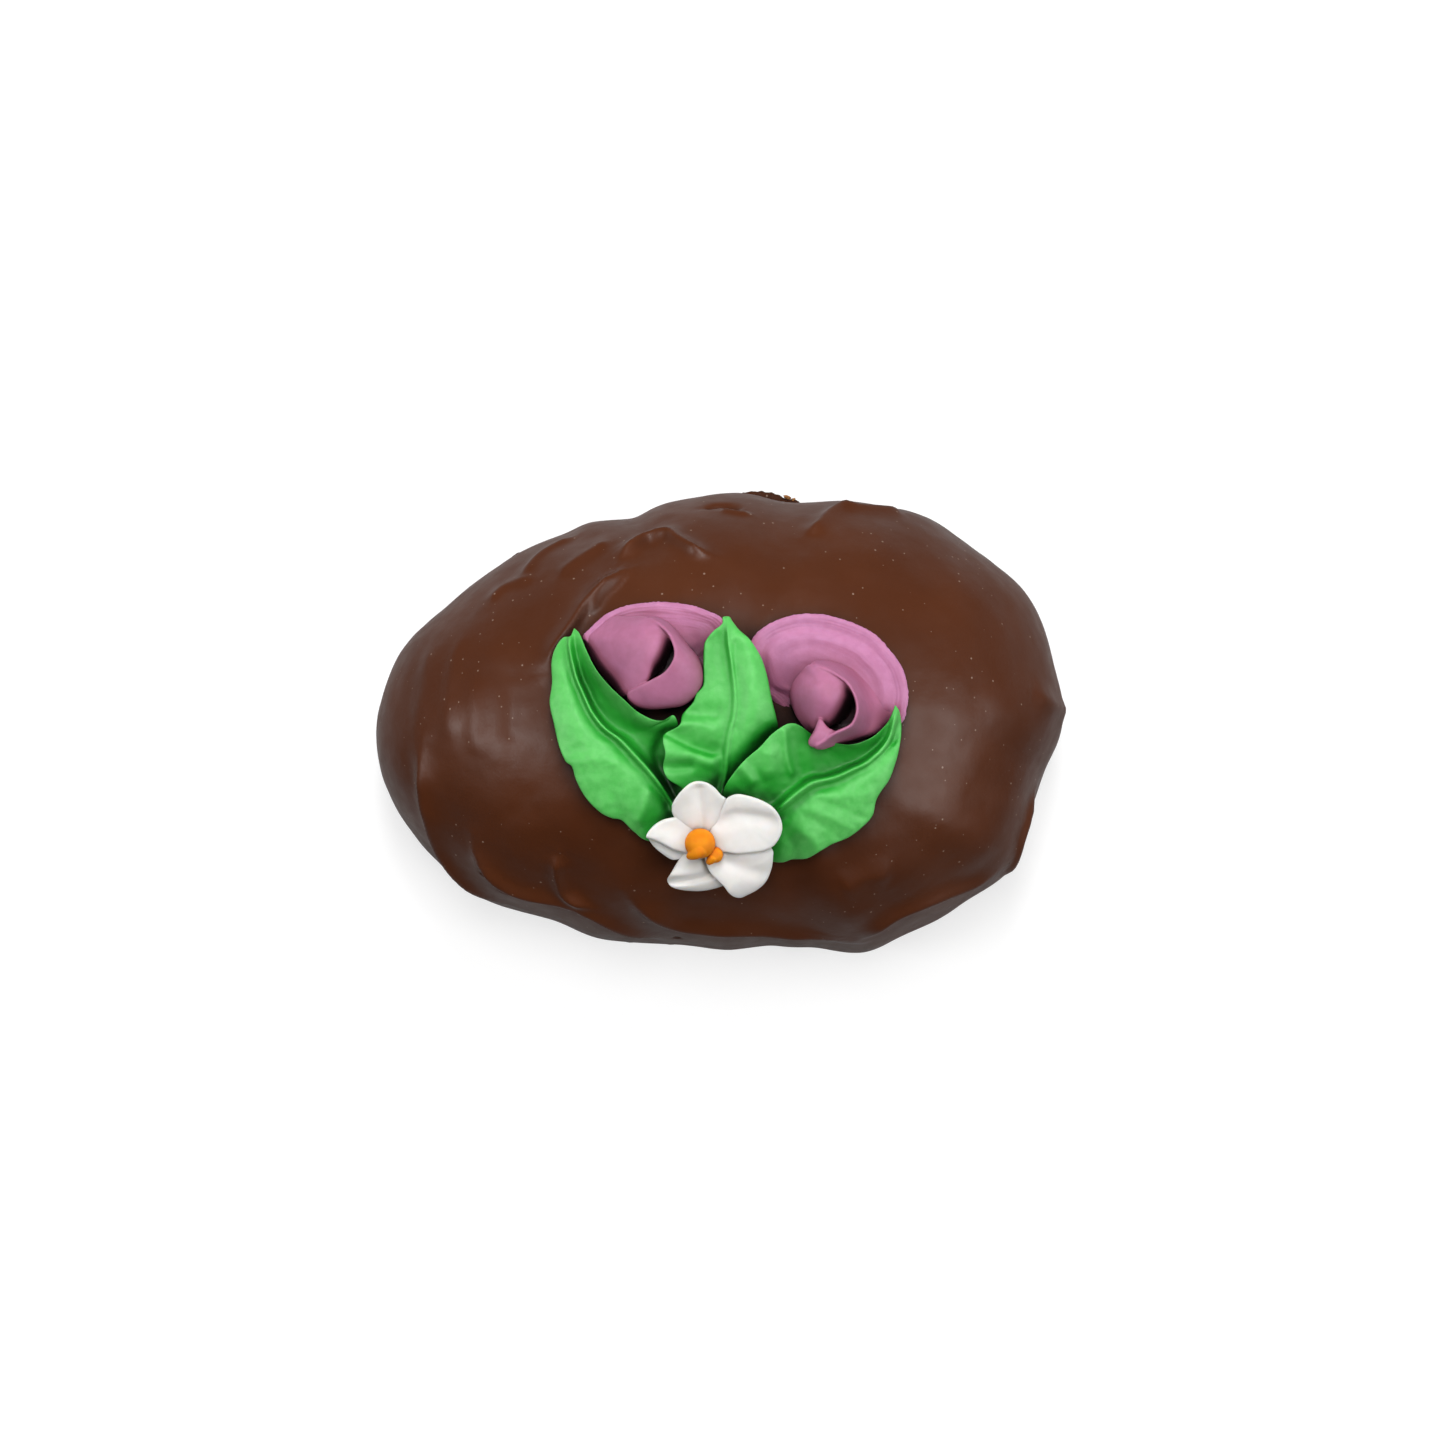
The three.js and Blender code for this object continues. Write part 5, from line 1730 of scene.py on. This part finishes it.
@dataclass(frozen=True)
class Surroundings:
    """A pale floor that shows a faint shadow, and a pale room that is darker at the front.

    Attributes:
        front_glow: how bright the room is at the front.
        back_glow: how bright it is at the back.
        floor_glow: the share of the floor's paleness that no shadow takes away.
        floor_shade: the share that shadows do take away.
        near_bounce: how much light the floor sends back up right by the egg.
        front_bounce: how much it sends back further off, at the front.
        back_bounce: how much further off, at the back.
        bounce_range: distances from the origin over which near turns into further off, in metres.
    """

    front_glow: float = 0.02
    back_glow: float = 0.14
    floor_glow: float = 0.68
    floor_shade: float = 0.38
    near_bounce: float = 0.42
    front_bounce: float = 0.09
    back_bounce: float = 0.30
    bounce_range: Pair = (0.055, 0.10)

    def build(self) -> None:
        """Adds the room, the floor and the lights."""
        self.build_room()
        self.build_floor()
        for light in LIGHTS:
            light.build()
        view = bpy.context.scene.view_settings
        view.view_transform, view.look = "Standard", "None"

    def build_room(self) -> None:
        """The light of the room: a soft change from the front to the back."""
        world = bpy.data.worlds.new("pale_room")
        world.use_nodes = True
        kit = NodeKit(world.node_tree)
        axes = kit.add("ShaderNodeSeparateXYZ", {0: kit.add("ShaderNodeTexCoord").outputs["Generated"]})
        back = kit.ramp(axes.outputs["Y"], -0.6, 0.4)
        glow = kit.math("MULTIPLY", back, self.back_glow - self.front_glow)
        shown = kit.add("ShaderNodeLightPath").outputs["Is Camera Ray"]
        strength = kit.math("MAXIMUM", kit.math("ADD", glow, self.front_glow), shown)
        kit.feed(world.node_tree.nodes["Background"], {"Strength": strength, "Color": (1.0, 1.0, 1.0, 1.0)})
        bpy.context.scene.world = world

    def build_floor(self) -> None:
        """The floor, whose bounce is weaker further off, most of all at the front."""
        bm = bmesh.new()
        bmesh.ops.create_grid(bm, x_segments=2, y_segments=2, size=3.0)
        floor = into_scene(bm, "floor")
        material, kit, plain = new_material("pale_floor")
        material.node_tree.nodes.remove(plain)
        place = kit.place()
        back = kit.ramp(kit.add("ShaderNodeSeparateXYZ", {0: place}).outputs["Y"], -0.03, 0.04)
        distance = kit.add("ShaderNodeVectorMath", {0: place}, operation="LENGTH").outputs["Value"]
        far = kit.mix(back, (self.front_bounce,) * 3, (self.back_bounce,) * 3)
        bounce = kit.mix(kit.ramp(distance, *self.bounce_range), (self.near_bounce,) * 3, far)
        unseen = kit.add("ShaderNodeBsdfDiffuse", {"Color": bounce}).outputs[0]
        glow = kit.add("ShaderNodeEmission", {"Strength": self.floor_glow}).outputs[0]
        shaded = kit.add("ShaderNodeBsdfDiffuse", {"Color": (*(self.floor_shade,) * 3, 1.0)}).outputs[0]
        seen = kit.add("ShaderNodeAddShader", {0: glow, 1: shaded}).outputs[0]
        camera_ray = kit.add("ShaderNodeLightPath").outputs["Is Camera Ray"]
        surface = kit.add("ShaderNodeMixShader", {0: camera_ray, 1: unseen, 2: seen}).outputs[0]
        kit.feed(material.node_tree.nodes["Material Output"], {"Surface": surface})
        floor.data.materials.append(material)


# ------------------------------------------------------------------ putting it together


def plan_middle(points: Array) -> Array:
    """The middle of the points' box in plan."""
    return (points[:, :2].min(axis=0) + points[:, :2].max(axis=0)) / 2


def main() -> None:
    """Builds every piece of the egg, then the studio round it."""
    logging.basicConfig(level=logging.INFO, format="%(name)s: %(message)s")
    groups = Groups(make_grain_group(), make_speck_group())
    egg = (ChocolateEgg("chocolate_egg", "egg"),)
    coat = {piece: piece.build_mesh() for piece in (*egg, *LEDGES)}
    whole = np.concatenate([vertex_array(bm) for bm in coat.values()])
    studio = Studio(plan_middle(whole) - plan_middle(np.array(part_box("egg"))) / MM)
    for pieces, finish, slot in (
        (egg, CHOCOLATE, Slot.CHOCOLATE),
        (LEDGES, BROKEN, Slot.CHOCOLATE),
        (CRUMBS, CRUMBLY, Slot.CHOCOLATE),
        (DISHES, PURPLE, Slot.PURPLE),
        (BUDS, SHADED_BUD_PURPLE, Slot.PURPLE),
        (LEAVES, GREEN, Slot.GREEN),
        (PETALS, WHITE, Slot.WHITE),
        (BEADS, ORANGE, Slot.ORANGE),
    ):
        material = finish.build(groups)
        for piece in pieces:
            bm = coat[piece] if piece in coat else piece.build_mesh()
            studio.keep(piece, bm, material)

    Camera().build(studio.centre)
    Surroundings().build()


if __name__ == "__main__":
    main()
